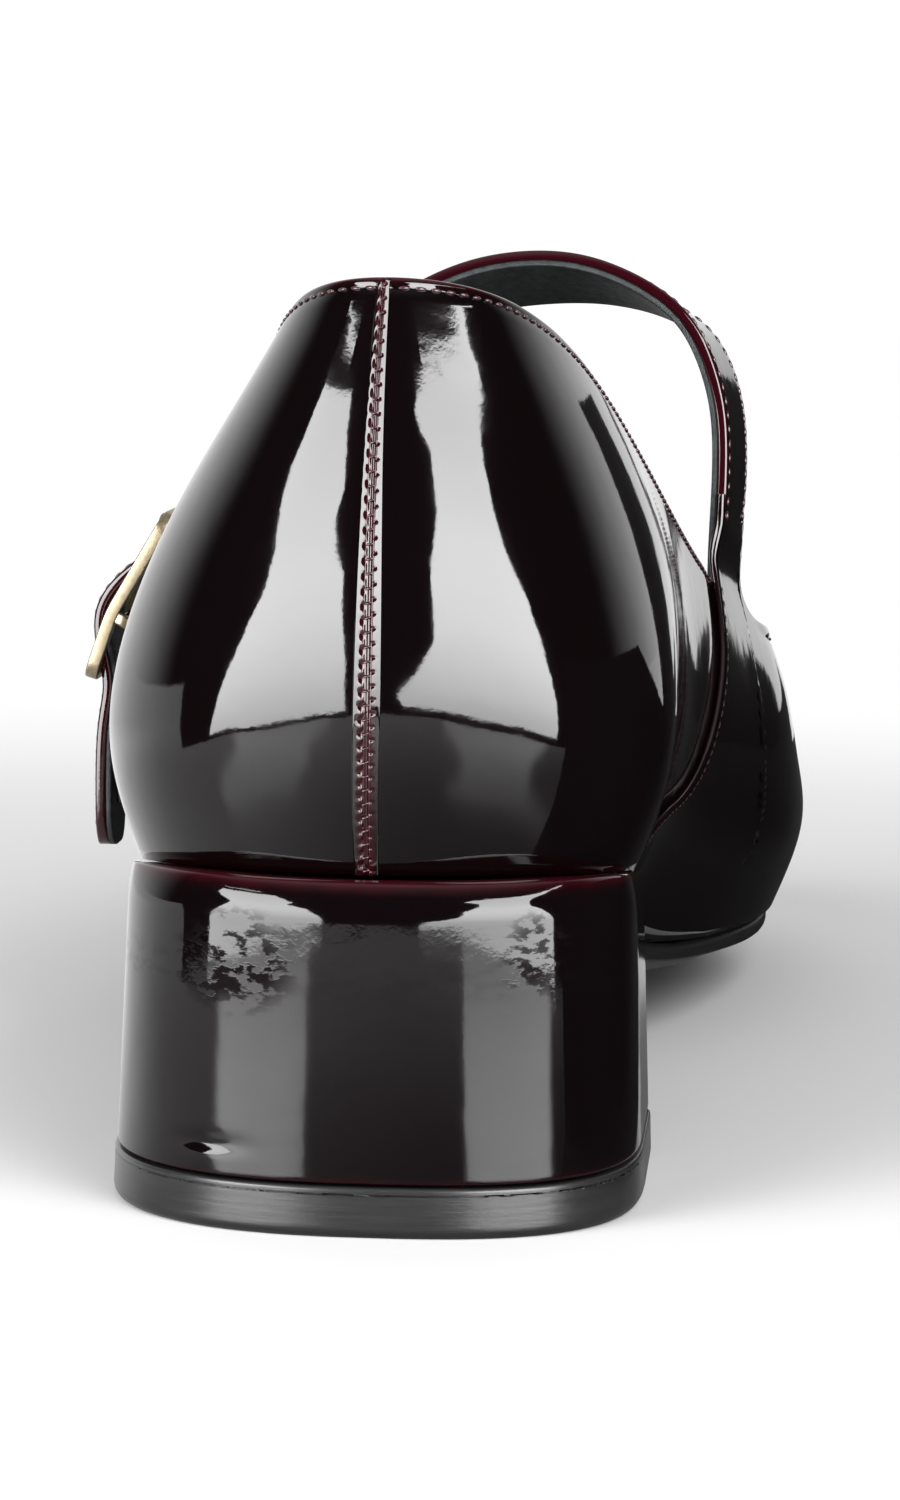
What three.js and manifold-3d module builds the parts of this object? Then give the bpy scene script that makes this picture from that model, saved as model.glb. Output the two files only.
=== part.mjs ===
// A woman's mary jane pump on a low block heel: the left shoe, buckled, empty, standing on its sole.
// Millimetres. +Z is up and the toe points along +Y, so +X is the inner (medial) side of the foot.
// While it is built, y = 0 is the back of the heel, z = 0 the floor and x = 0 the middle of the heel.
import * as THREE from "three";
import { mergeVertices } from "three/addons/utils/BufferGeometryUtils.js";
import Module from "manifold-3d";

const wasm = await Module();
wasm.setup();

// ---------------------------------------------------------------- driving dimensions
const GAP = 0.3; // air left between pieces that touch
const WALL = 1.8; // upper: patent leather, stiffener and lining together
const INSOLE = 2.4; // insole board with its sock
const SOLE = 3.3; // outsole in its middle
const SOLE_EDGE = 2.3; // and at its edge
const SOLE_INSET = 0.9; // how far the upper overhangs the outsole
const SOLE_BACK = 51.2; // the outsole starts in front of the heel's breast

const HEEL_TOP_HALF = 26.4; // half the heel's width under the upper
const HEEL_FOOT_HALF = 27.8; // half its width at the floor
const HEEL_WIDEST = 27; // where both are measured, from the back
const HEEL_BREAST = 50.6; // front face of the heel, at its top
const HEEL_RAKE = 3.2; // the front face leans back this far at the floor
const HEEL_SQUARE = 2.15; // exponent of the heel's round back; 2 is an ellipse
const HEEL_BACK = [-0.5, 1.4]; // the heel's rearmost point, at the floor and at its top
const HEEL_HIGH = 36; // height at which the heel's top sizes are measured
const BREAST_HOLLOW = 1.2; // depth of the dish across the front face
const BREAST_CORNER = 1.4; // width of the flat beside it
const SIDE_EASE = 0.35; // the sides close in by this much towards the front
const TOP_PIECE = 5.2; // rubber heel tip

const STRAP_WIDE = 12;
const STRAP_THICK = 2;
const BUCKLE_BAR = 1.6; // square bar of the buckle's frame
const BUCKLE_INSIDE = 14.4; // between the two side bars, along y
const BUCKLE_Y = 112.5; // middle of the strap at the buckle
const LOOP_WIDE = 9; // the leather loop that holds the middle bar
const LOOP_THICK = 0.7;
const [LOOP_FRONT, LOOP_FOOT, LOOP_NECK] = [0.747, 0.37, 0.84]; // u of its front edge, v of its ends
const PIN = 0.5; // radius of the buckle's middle bar and of its prong

// ---------------------------------------------------------------- the form of the upper
// Each row is a station round the shoe, from the back seam to the toe. Each level of the wall gives
// [distance from the back, height, medial half-width, lateral half-width]. At the seam and the toe
// one point serves both sides, so the two half-widths cancel.
const [FROM_BACK, HEIGHT, MEDIAL, LATERAL] = [0, 1, 2, 3];
const LEVELS = ["feather", "belly", "shoulder", "crown", "topline"];
const STATIONS = [
  { at: "back seam", feather: [2, 36.4, 0.8, -0.8], belly: [-1.3, 49.5, 0.9, -0.9],
    shoulder: [-1.6, 64.5, 1.2, -1.2], crown: [0.9, 80.8, 1.5, -1.5], topline: [5, 96.2, 1.8, -1.8] },
  { at: "heel corner", feather: [9, 36, 18.6, 17.8], belly: [6.4, 48.8, 21, 19.9],
    shoulder: [6.9, 63.6, 20.3, 18.4], crown: [9.2, 79, 17, 13.4], topline: [13, 94.4, 12.2, 7.4] },
  { at: "heel side", feather: [27, 34.2, 25.9, 25.9], belly: [27, 46.2, 29.4, 29.3],
    shoulder: [27.8, 60, 28.6, 27.4], crown: [29.2, 74.2, 24.8, 21.1], topline: [31, 88.2, 18.9, 12.3] },
  { at: "heel breast", feather: [49, 31, 24.9, 25.9], belly: [49, 42.2, 28.6, 30.4],
    shoulder: [50, 54.8, 29.6, 29.6], crown: [51, 67.6, 27.6, 24.1], topline: [52, 79.6, 23.1, 16.9] },
  { at: "shank", feather: [71.5, 24.6, 22, 27], belly: [71.5, 35.4, 27.8, 32.4],
    shoulder: [72, 47.4, 29.6, 32.4], crown: [72.5, 59.6, 29, 28.7], topline: [73.5, 70.8, 26.5, 23.2] },
  { at: "waist", feather: [94, 17.6, 22.6, 29.8], belly: [94, 29, 30, 35.2],
    shoulder: [94, 40.8, 32, 35.8], crown: [94, 52, 31.6, 33.6], topline: [94.5, 62.4, 29.7, 30] },
  { at: "strap", feather: [116.5, 13.6, 27.6, 34], belly: [116.5, 24.8, 34.4, 38.2],
    shoulder: [116.5, 35.8, 36, 38.6], crown: [116.5, 45.8, 35.2, 37.2], topline: [116, 55.6, 33.2, 34.6] },
  { at: "joint", feather: [139, 11.8, 33, 38.6], belly: [139, 22.6, 38.7, 42.9],
    shoulder: [138.5, 32.4, 39.7, 42.8], crown: [137.5, 41.8, 38.7, 40.8], topline: [136, 51.1, 36.1, 37.2] },
  { at: "ball", feather: [161, 10.8, 36.7, 39.4], belly: [161, 21.6, 40.9, 43.8],
    shoulder: [160, 31, 40.7, 42.6], crown: [156.5, 40.8, 38.8, 39.4], topline: [152, 49.4, 35.3, 34.8] },
  { at: "toes", feather: [183, 10.4, 37.3, 37.2], belly: [183.5, 20.6, 40.6, 40.6],
    shoulder: [181.5, 29.8, 39.3, 38.6], crown: [175, 40, 35.1, 34], topline: [163.5, 50.9, 28.3, 27.2] },
  { at: "toe side", feather: [204, 11.2, 34, 31.8], belly: [205.5, 20.2, 37, 34.8],
    shoulder: [202.5, 29.1, 35, 32.8], crown: [190, 40.3, 28.4, 26.8], topline: [169.8, 53.2, 19.6, 18.6] },
  { at: "toe corner", feather: [225, 12.2, 24, 21.8], belly: [228.5, 20, 26, 23.8],
    shoulder: [222.5, 30.1, 24, 22], crown: [202, 41.3, 18, 16.8], topline: [172.9, 54.8, 10.2, 9.6] },
  { at: "toe", feather: [236.3, 12.6, 1.3, -1.3], belly: [240.2, 20, 1.3, -1.3],
    shoulder: [232.5, 31.2, 1.2, -1.2], crown: [208, 42.2, 0.9, -0.9], topline: [174, 55.3, 0.5, -0.5] },
];

// How far the bottom of the foot's bed hangs below the feather edge, along its middle.
const SAG = [
  { y: 2, sag: 0 },
  { y: 26, sag: 1.2 },
  { y: 95, sag: 1.6 },
  { y: 130, sag: 2.4 },
  { y: 168, sag: 7.4 },
  { y: 186, sag: 7.2 },
  { y: 236, sag: 0 },
];

// The strap's middle line, from the medial quarter over the instep and through the buckle to the free
// end. dip is how far its front edge is turned down, and turn how far it is turned outwards, in degrees.
const STRAP = [
  { at: "medial root", x: 32.3, y: 112.8, z: 53, dip: 0, turn: 9 },
  { at: "above the edge", x: 32.2, y: 113, z: 61, dip: 0, turn: 9 },
  { at: "medial side", x: 32.5, y: 113.4, z: 68, dip: 1, turn: 10 },
  { at: "medial rise", x: 32.5, y: 113.8, z: 75, dip: 3, turn: 10 },
  { at: "medial bend", x: 31.6, y: 114.1, z: 81, dip: 4, turn: 10 },
  { at: "medial turn", x: 29.2, y: 114.3, z: 86.6, dip: 7, turn: 10 },
  { at: "medial shoulder", x: 24.9, y: 114.4, z: 90.7, dip: 11, turn: 8 },
  { at: "medial top", x: 18.4, y: 114.4, z: 93.3, dip: 18, turn: 4 },
  { at: "instep", x: 11, y: 114.4, z: 94.2, dip: 25, turn: 0 },
  { at: "lateral top", x: 2, y: 114.3, z: 93, dip: 27, turn: -2 },
  { at: "lateral shoulder", x: -7, y: 114, z: 89.2, dip: 23, turn: -3 },
  { at: "lateral slope", x: -16.6, y: 113.5, z: 82.8, dip: 16, turn: -3 },
  { at: "lateral side", x: -25, y: 113, z: 74.4, dip: 8, turn: -2 },
  { at: "under the top bar", x: -31.4, y: 112.6, z: 64.6, dip: 2, turn: 0 },
  { at: "rising", x: -37, y: BUCKLE_Y, z: 59.6, dip: 0, turn: 0 },
  { at: "over the middle bar", x: -42.5, y: BUCKLE_Y, z: 53.4, dip: 0, turn: 0 },
  { at: "under the end bar", x: -40.9, y: BUCKLE_Y, z: 45.4, dip: 0, turn: 0 },
  { at: "tail", x: -41.3, y: BUCKLE_Y, z: 38.4, dip: 0, turn: 0 },
  { at: "tail end", x: -41.4, y: BUCKLE_Y, z: 24.4, dip: 0, turn: 0 },
];

// The buckle lies on the lateral side, bent where its middle bar is: [x, z] of each bar.
const BAR_TOP = [-33.8, 65.4];
const BAR_MIDDLE = [-39.1, 52];
const BEND = [-41.2, 53.2];
const BAR_END = [-43.6, 46];

// ---------------------------------------------------------------- curves
const add = (a, b, k = 1) => a.map((v, i) => v + k * b[i]);
const mix = (a, b, t) => a + (b - a) * t;

// A uniform cubic B-spline through given points: the control points are moved by what the curve
// misses until it misses nothing. Closed curves wrap; open ones carry on straight past their ends.
function controls(points, closed) {
  let control = points;
  for (let round = 0; round < 60; round++) {
    control = control.map((c, i) => add(c, add(points[i], knot(control, i, closed), -1)));
  }
  return control;
}

function pick(control, i, closed) {
  const n = control.length;
  if (closed) return control[((i % n) + n) % n];
  if (i < 0) return add(control[0], add(control[1], control[0], -1), i);
  if (i >= n) return add(control[n - 1], add(control[n - 2], control[n - 1], -1), n - 1 - i);
  return control[i];
}

function knot(control, i, closed) {
  const side = add(pick(control, i - 1, closed), pick(control, i + 1, closed));
  return add(side, control[i], 4).map((v) => v / 6);
}

function along(control, t, closed) {
  const last = closed ? Infinity : control.length - 2;
  const i = Math.min(Math.max(Math.floor(t), closed ? -Infinity : 0), last);
  const f = t - i;
  const weights = [(1 - f) ** 3, 3 * f ** 3 - 6 * f * f + 4, 3 * f + 3 * f * f - 3 * f ** 3 + 1, f ** 3];
  let sum = control[0].map(() => 0);
  weights.forEach((w, k) => {
    sum = add(sum, pick(control, i + k - 1, closed), w / 6);
  });
  return sum;
}

// A value read from a table of { y, [name] } rows, eased from row to row.
function lookUp(rows, name, y) {
  const next = rows.findIndex((row) => row.y >= y);
  if (next <= 0) return rows[next === 0 ? 0 : rows.length - 1][name];
  const [a, b] = [rows[next - 1], rows[next]];
  return mix(a[name], b[name], THREE.MathUtils.smoothstep(y, a.y, b.y));
}

// ---------------------------------------------------------------- the upper's own surface
function point(cell, side) {
  const outwards = side === MEDIAL ? cell[MEDIAL] : -cell[LATERAL];
  return [outwards, cell[FROM_BACK], cell[HEIGHT]];
}

function ring(level) {
  const medial = STATIONS.map((row) => point(row[level], MEDIAL));
  const lateral = STATIONS.slice(1, -1).map((row) => point(row[level], LATERAL));
  return [...medial, ...lateral.reverse()];
}

const AROUND = 2 * (STATIONS.length - 1);
const rings = LEVELS.map((level) => controls(ring(level), true));
const stations = rings[0].map((_, u) => controls(rings.map((loop) => loop[u]), false));
const net = LEVELS.map((_, v) => stations.map((column) => column[v]));

// u runs once round the shoe from the back seam by the medial side; v from the feather (0) to the top (1).
function skin(u, v) {
  const column = net.map((loop) => along(loop, u * AROUND, true));
  return along(column, v * (LEVELS.length - 1), false);
}

function inward(u, v) {
  const e = 1e-3;
  const across = new THREE.Vector3(...add(skin(u + e, v), skin(u - e, v), -1));
  const up = new THREE.Vector3(...add(skin(u, v + e), skin(u, v - e), -1));
  return up.cross(across).normalize().toArray();
}

const feather = (u, inset) => {
  const [x, y] = skin(u, 0);
  const e = 1e-3;
  const [tx, ty] = add(skin(u + e, 0), skin(u - e, 0), -1);
  const length = Math.hypot(tx, ty);
  return [x - (inset * ty) / length, y + (inset * tx) / length];
};

// ---------------------------------------------------------------- solids
function geometryFrom(vertices, triangles) {
  const geometry = new THREE.BufferGeometry();
  geometry.setAttribute("position", new THREE.Float32BufferAttribute(vertices.flat(), 3));
  geometry.setIndex(triangles.flat());
  return geometry;
}

function toSolid(source) {
  const bare = source.clone();
  bare.deleteAttribute("normal");
  bare.deleteAttribute("uv");
  const merged = mergeVertices(bare, 1e-4);
  const vertProperties = new Float32Array(merged.attributes.position.array);
  const triVerts = new Uint32Array(merged.index.array);
  return new wasm.Manifold(new wasm.Mesh({ numProp: 3, vertProperties, triVerts }));
}

function toGeometry(solid) {
  const { vertProperties, triVerts } = solid.getMesh();
  const geometry = new THREE.BufferGeometry();
  geometry.setAttribute("position", new THREE.BufferAttribute(vertProperties, 3));
  geometry.setIndex(new THREE.BufferAttribute(triVerts, 1));
  return geometry;
}

// Rings of equal length stacked into a tube. The ends are closed by fans, or joined to each other.
function stack(loops, joined = false) {
  const count = loops[0].length;
  const vertices = loops.flat();
  const triangles = [];
  const bands = joined ? loops.length : loops.length - 1;
  for (let j = 0; j < bands; j++) {
    const [low, high] = [j * count, ((j + 1) % loops.length) * count];
    for (let i = 0; i < count; i++) {
      const k = (i + 1) % count;
      triangles.push([low + i, low + k, high + k], [low + i, high + k, high + i]);
    }
  }
  if (!joined) {
    const fan = (loop, start, flip) => {
      const middle = vertices.length;
      vertices.push(loop.reduce((sum, p) => add(sum, p, 1 / count), [0, 0, 0]));
      for (let i = 0; i < count; i++) {
        const pair = [start + i, start + ((i + 1) % count)];
        triangles.push([middle, ...(flip ? pair.reverse() : pair)]);
      }
    };
    fan(loops[0], 0, true);
    fan(loops[loops.length - 1], (loops.length - 1) * count, false);
  }
  return geometryFrom(vertices, triangles);
}

// A plate between two height functions. Each row lies across it at one y: [y, lowest x, highest x].
function plate(rows, across, bottom, top) {
  const loops = rows.map(([y, low, high]) => {
    const xs = range(low, high, across);
    return [...xs.map((x) => [x, y, top(x, y)]), ...xs.map((x) => [x, y, bottom(x, y)]).reverse()];
  });
  return stripEnds(loops);
}

// As stack, but the two ends are closed by strips between the top and bottom halves of the ring.
function stripEnds(loops) {
  const count = loops[0].length;
  const geometry = stack(loops);
  const vertices = loops.flat();
  const body = Array.from(geometry.index.array).slice(0, 6 * count * (loops.length - 1));
  const close = (start, flip) => {
    for (let i = 0; i < count / 2 - 1; i++) {
      const [a, b, c, d] = [i, i + 1, count - 2 - i, count - 1 - i].map((n) => start + n);
      body.push(...(flip ? [a, c, b, a, d, c] : [a, b, c, a, c, d]));
    }
  };
  close(0, true);
  close((loops.length - 1) * count, false);
  return geometryFrom(vertices, [body]);
}

const range = (from, to, steps) => Array.from({ length: steps + 1 }, (_, i) => mix(from, to, i / steps));

// ---------------------------------------------------------------- the bed that the foot stands on
const EDGE_STEPS = 400;
const edges = range(0, 1, EDGE_STEPS).map((u) => skin(u, 0));
const half = edges.length >> 1;

function crossing(side, y) {
  const next = side.findIndex((p) => p[1] >= y);
  if (next < 1) return side[next === 0 ? 0 : side.length - 1];
  const [a, b] = [side[next - 1], side[next]];
  return add(a, add(b, a, -1), (y - a[1]) / (b[1] - a[1]));
}

const sidesOf = (loop) => [loop.slice(0, half + 1), loop.slice(half).reverse()];
const [medialEdge, lateralEdge] = sidesOf(edges);

// 0 on the bed's middle line, 1 at the feather edge.
function offCentre(x, y) {
  const [m, l] = [crossing(medialEdge, y), crossing(lateralEdge, y)];
  const halfWidth = Math.max((m[0] - l[0]) / 2, 1);
  return Math.min(Math.abs(x - (m[0] + l[0]) / 2) / halfWidth, 1.1);
}

// Height of the bed's underside: level across the feather edges, hanging between them.
function bed(x, y) {
  const edge = (crossing(medialEdge, y)[2] + crossing(lateralEdge, y)[2]) / 2;
  return edge - lookUp(SAG, "sag", y) * (1 - offCentre(x, y) ** 2);
}

// Rows across the bed, inside its edge by inset, for y from a start to the toe. The rows crowd
// towards a round end, which ends in a row of almost no width.
const ROUND_ENDS = (t) => 0.5 - 0.5 * Math.cos(Math.PI * t);
const ROUND_TOE = (t) => Math.sin((Math.PI * t) / 2);
function bedRows(inset, from, count, spacing) {
  const loop = range(0, 1, EDGE_STEPS).map((u) => feather(u, inset));
  const [medial, lateral] = sidesOf(loop);
  const [first, last] = [Math.max(from, loop[0][1] + 0.02), loop[half][1] - 0.02];
  return range(0, 1, count).map((t) => {
    const y = mix(first, last, spacing(t));
    return [y, crossing(lateral, y)[0], crossing(medial, y)[0]];
  });
}

// ---------------------------------------------------------------- pieces
// A wall that follows the upper's surface between two depths below it, up to the height v = top.
function wall(outside, inside, top) {
  const us = range(0, 1, 72).slice(0, -1);
  const layer = (depth) => range(0, top, 12).map((v) => us.map((u) => add(skin(u, v), inward(u, v), depth)));
  return stack([...layer(outside), ...layer(inside).reverse()], true);
}

function makeUpper() {
  return wall(0, WALL, 1);
}

function makeInsole() {
  return plate(bedRows(WALL + GAP + 0.1, 0, 40, ROUND_ENDS), 10, bed, (x, y) => bed(x, y) + INSOLE);
}

function makeOutsole() {
  const top = (x, y) => bed(x, y) - GAP;
  const bottom = (x, y) => Math.max(top(x, y) - mix(SOLE, SOLE_EDGE, offCentre(x, y) ** 4), 0);
  return plate(bedRows(SOLE_INSET, SOLE_BACK, 36, ROUND_TOE), 16, bottom, top);
}

// The heel's outline at one height, clockwise seen from above, starting at the medial breast corner.
function heelRing(z, grow = 0) {
  const t = z / HEEL_HIGH;
  const halfWidth = mix(HEEL_FOOT_HALF, HEEL_TOP_HALF, t) + grow;
  const back = mix(...HEEL_BACK, t) - grow;
  const depth = HEEL_WIDEST - back;
  const breast = mix(HEEL_BREAST - HEEL_RAKE, HEEL_BREAST, t);
  const round = range(0, Math.PI, 28).map((angle) => {
    const [c, s] = [Math.cos(angle), Math.sin(angle)];
    const x = Math.sign(c) * Math.abs(c) ** (2 / HEEL_SQUARE) * halfWidth;
    return [x, HEEL_WIDEST - depth * Math.abs(s) ** (2 / HEEL_SQUARE), z];
  });
  const inner = halfWidth - BREAST_CORNER;
  const corner = (side) => [side * inner, breast, z];
  const side = (sign) => [sign * (halfWidth - SIDE_EASE), mix(HEEL_WIDEST, breast, 0.5), z];
  const dish = range(-1, 1, 6).slice(1, -1).map((k) => [k * inner, breast - BREAST_HOLLOW * (1 - k * k), z]);
  return [corner(1), side(1), ...round, side(-1), corner(-1), ...dish].reverse();
}

function makeHeel() {
  const levels = [TOP_PIECE + GAP, 12, 20, 28, HEEL_HIGH + 9];
  const body = toSolid(stack(levels.map((z) => heelRing(z))));
  const seat = range(-6, 56, 12).map((y) => [y, -34, 34]);
  const above = plate(seat, 12, (x, y) => bed(x, y) - GAP, () => 2 * HEEL_HIGH);
  return toGeometry(body.subtract(toSolid(above)));
}

function makeTopPiece() {
  return stack([heelRing(0, -0.4), heelRing(0.6, 0.2), heelRing(TOP_PIECE, 0.2)]);
}

const strapLine = controls(STRAP.map(({ x, y, z, dip, turn }) => [x, y, z, dip, turn]), false);

function strapFrame(t) {
  const e = 1e-3;
  const last = STRAP.length - 1;
  const [x, y, z, ...angles] = along(strapLine, t, false);
  const ahead = along(strapLine, Math.min(t + e, last), false);
  const behind = along(strapLine, Math.max(t - e, 0), false);
  const tangent = new THREE.Vector3(...add(ahead, behind, -1).slice(0, 3)).normalize();
  const [dip, turn] = angles.map(THREE.MathUtils.degToRad);
  const wide = new THREE.Vector3(Math.sin(turn), Math.cos(turn) * Math.cos(dip), -Math.sin(dip));
  wide.addScaledVector(tangent, -wide.dot(tangent)).normalize();
  const out = new THREE.Vector3().crossVectors(tangent, wide);
  return { middle: [x, y, z], wide: wide.toArray(), out: out.toArray() };
}

// The strap starts in line with the medial quarter, one gap above its top edge.
function makeStrap(prongRoom) {
  const corners = [[-1, -1], [1, -1], [1, 1], [-1, 1]];
  const loops = range(0, STRAP.length - 1, 68).map((t) => {
    const { middle, wide, out } = strapFrame(t);
    return corners.map(([a, b]) => add(add(middle, wide, (a * STRAP_WIDE) / 2), out, (b * STRAP_THICK) / 2));
  });
  const quarterRoom = toSolid(wall(-GAP, WALL + GAP, 1.04));
  const [body] = toSolid(stack(loops)).subtract(prongRoom).subtract(quarterRoom).decompose();
  return toGeometry(body);
}

// A straight bar from one [x, z] to another at a given y, square or round.
function bar(from, to, y, sizeY, sizeN, sides = 4) {
  const [a, b] = [new THREE.Vector3(from[0], y, from[1]), new THREE.Vector3(to[0], y, to[1])];
  const length = a.distanceTo(b);
  const geometry = sides === 4
    ? new THREE.BoxGeometry(sizeN, sizeY, length)
    : new THREE.CylinderGeometry(sizeN / 2, sizeN / 2, length, sides).rotateX(Math.PI / 2);
  const up = new THREE.Vector3(0, 0, 1);
  const turn = new THREE.Quaternion().setFromUnitVectors(up, b.clone().sub(a).normalize());
  geometry.applyQuaternion(turn);
  geometry.translate(...a.add(b).multiplyScalar(0.5).toArray());
  return toSolid(geometry);
}

// A round pin or a square bar lying along y.
function crossBar(at, length, size, sides) {
  const geometry = sides === 4
    ? new THREE.BoxGeometry(size, length, size)
    : new THREE.CylinderGeometry(size / 2, size / 2, length, sides);
  geometry.translate(at[0], BUCKLE_Y, at[1]);
  return toSolid(geometry);
}

function makeBuckle() {
  const reach = BUCKLE_INSIDE + 2 * BUCKLE_BAR;
  const ends = [crossBar(BAR_TOP, reach, BUCKLE_BAR, 4), crossBar(BAR_END, reach, BUCKLE_BAR, 4)];
  const middle = crossBar(BAR_MIDDLE, reach - 0.2, 2 * PIN, 12);
  const sides = [-1, 1].flatMap((side) => {
    const y = BUCKLE_Y + (side * (BUCKLE_INSIDE + BUCKLE_BAR)) / 2;
    return [
      bar(BAR_TOP, BEND, y, BUCKLE_BAR, BUCKLE_BAR),
      bar(BEND, BAR_END, y, BUCKLE_BAR, BUCKLE_BAR),
      bar(BEND, BAR_MIDDLE, y, BUCKLE_BAR, BUCKLE_BAR),
    ];
  });
  return [...ends, ...sides].reduce((whole, piece) => whole.add(piece), middle);
}

// The prong hooks round the middle bar, comes up through the strap and rests on the top bar.
function prongShape(grow) {
  const rest = [BAR_TOP[0] - 1.55, BAR_TOP[1] - 0.2];
  const hook = crossBar(BAR_MIDDLE, 1.6 + 2 * grow, 2 * (2 * PIN + GAP + grow), 16);
  const rod = bar(BAR_MIDDLE, rest, BUCKLE_Y, 2 * (PIN + grow), 2 * (PIN + grow), 12);
  return hook.add(rod);
}

function makeProng() {
  return toGeometry(prongShape(0).subtract(crossBar(BAR_MIDDLE, 8, 2 * (PIN + GAP), 12)));
}

// The loop of leather that holds the middle bar: folded round it and stitched to the quarter.
function makeLoop(prongRoom) {
  const quarter = range(LOOP_FOOT, LOOP_NECK, 6).map((v) => skin(LOOP_FRONT, v));
  const faces = quarter.map(([x, , z]) => [x - GAP, z]);
  const eye = PIN + GAP + LOOP_THICK;
  const bend = range(-0.3 * Math.PI, 0.95 * Math.PI, 12).map((angle) => {
    return [BAR_MIDDLE[0] + eye * Math.cos(angle), BAR_MIDDLE[1] + eye * Math.sin(angle)];
  });
  const back = faces.map(([x, z]) => [x - LOOP_THICK, z]).reverse();
  const shape = new THREE.Shape([...faces, ...bend, ...back].map(([x, z]) => new THREE.Vector2(x, z)));
  const geometry = new THREE.ExtrudeGeometry(shape, { depth: LOOP_WIDE, bevelEnabled: false });
  geometry.rotateX(Math.PI / 2);
  geometry.translate(0, BUCKLE_Y + LOOP_WIDE / 2, 0);
  const hole = crossBar(BAR_MIDDLE, LOOP_WIDE + 2, 2 * (PIN + GAP), 12);
  return toGeometry(toSolid(geometry).subtract(hole).subtract(prongRoom));
}

// ---------------------------------------------------------------- materials and assembly
function finish(color, roughness, metalness = 0) {
  return new THREE.MeshStandardMaterial({ color, roughness, metalness });
}

const patent = finish(0x1a0508, 0.12);
const lining = finish(0x22262a, 0.8);
const soleUnit = finish(0x131314, 0.55);
const rubber = finish(0x2b2b2d, 0.7);
const gold = finish(0xcfb27c, 0.25, 1);

const prongRoom = prongShape(GAP);
const pieces = [
  ["upper", makeUpper(), patent],
  ["insole", makeInsole(), lining],
  ["outsole", makeOutsole(), soleUnit],
  ["heel_block", makeHeel(), patent],
  ["top_piece", makeTopPiece(), rubber],
  ["strap", makeStrap(prongRoom), patent],
  ["buckle_frame", toGeometry(makeBuckle()), gold],
  ["buckle_prong", makeProng(), gold],
  ["buckle_loop", makeLoop(prongRoom), patent],
];

const shoe = new THREE.Group();
for (const [name, geometry, material] of pieces) {
  const mesh = new THREE.Mesh(geometry, material);
  mesh.name = name;
  shoe.add(mesh);
}

// The origin is put on the floor under the middle of the whole shoe.
const middle = new THREE.Box3().setFromObject(shoe).getCenter(new THREE.Vector3());
shoe.position.set(-middle.x, -middle.y, 0);

export default shoe;
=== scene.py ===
# %% [markdown]
# # A mary jane pump
#
# A woman's left shoe in near-black burgundy patent leather: a round toe, a low block heel covered in
# the same leather, and one strap over the instep with a small gold buckle. Solid modelling has already
# set the sizes, and this script dresses that frame. Each step says what the piece is on the real shoe,
# how it could be made, and why it is made the way it is.

import bmesh
import bpy
import numpy as np
from mathutils import Matrix, Vector
from mathutils.kdtree import KDTree


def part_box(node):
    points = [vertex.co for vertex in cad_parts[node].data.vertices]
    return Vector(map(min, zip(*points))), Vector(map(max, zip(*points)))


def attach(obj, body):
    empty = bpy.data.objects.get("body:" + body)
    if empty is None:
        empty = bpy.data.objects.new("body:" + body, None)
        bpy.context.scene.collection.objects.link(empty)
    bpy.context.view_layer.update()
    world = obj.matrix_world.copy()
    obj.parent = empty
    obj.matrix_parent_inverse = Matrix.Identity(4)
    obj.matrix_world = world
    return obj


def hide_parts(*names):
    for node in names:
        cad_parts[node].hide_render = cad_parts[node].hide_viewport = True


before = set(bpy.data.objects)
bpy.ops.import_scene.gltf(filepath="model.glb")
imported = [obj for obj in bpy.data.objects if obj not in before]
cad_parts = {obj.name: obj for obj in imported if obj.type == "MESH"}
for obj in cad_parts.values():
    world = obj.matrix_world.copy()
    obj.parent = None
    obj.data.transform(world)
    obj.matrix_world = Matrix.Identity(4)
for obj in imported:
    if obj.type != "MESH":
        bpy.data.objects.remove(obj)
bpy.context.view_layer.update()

# %% [markdown]
# ## The last
#
# A shoe is built on a last, so every leather piece follows one smooth form. It could be sculpted or
# drawn as patches, but the frame already defines it by a short table: thirteen stations round the
# shoe, each with five points from the feather edge up to the topline. Repeating that table here and
# running the same spline through it gives the form at any fineness, and every piece then fits.

# %% The table of the last
MM = 0.001
BACK, UP, MEDIAL, LATERAL = range(4)
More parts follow.
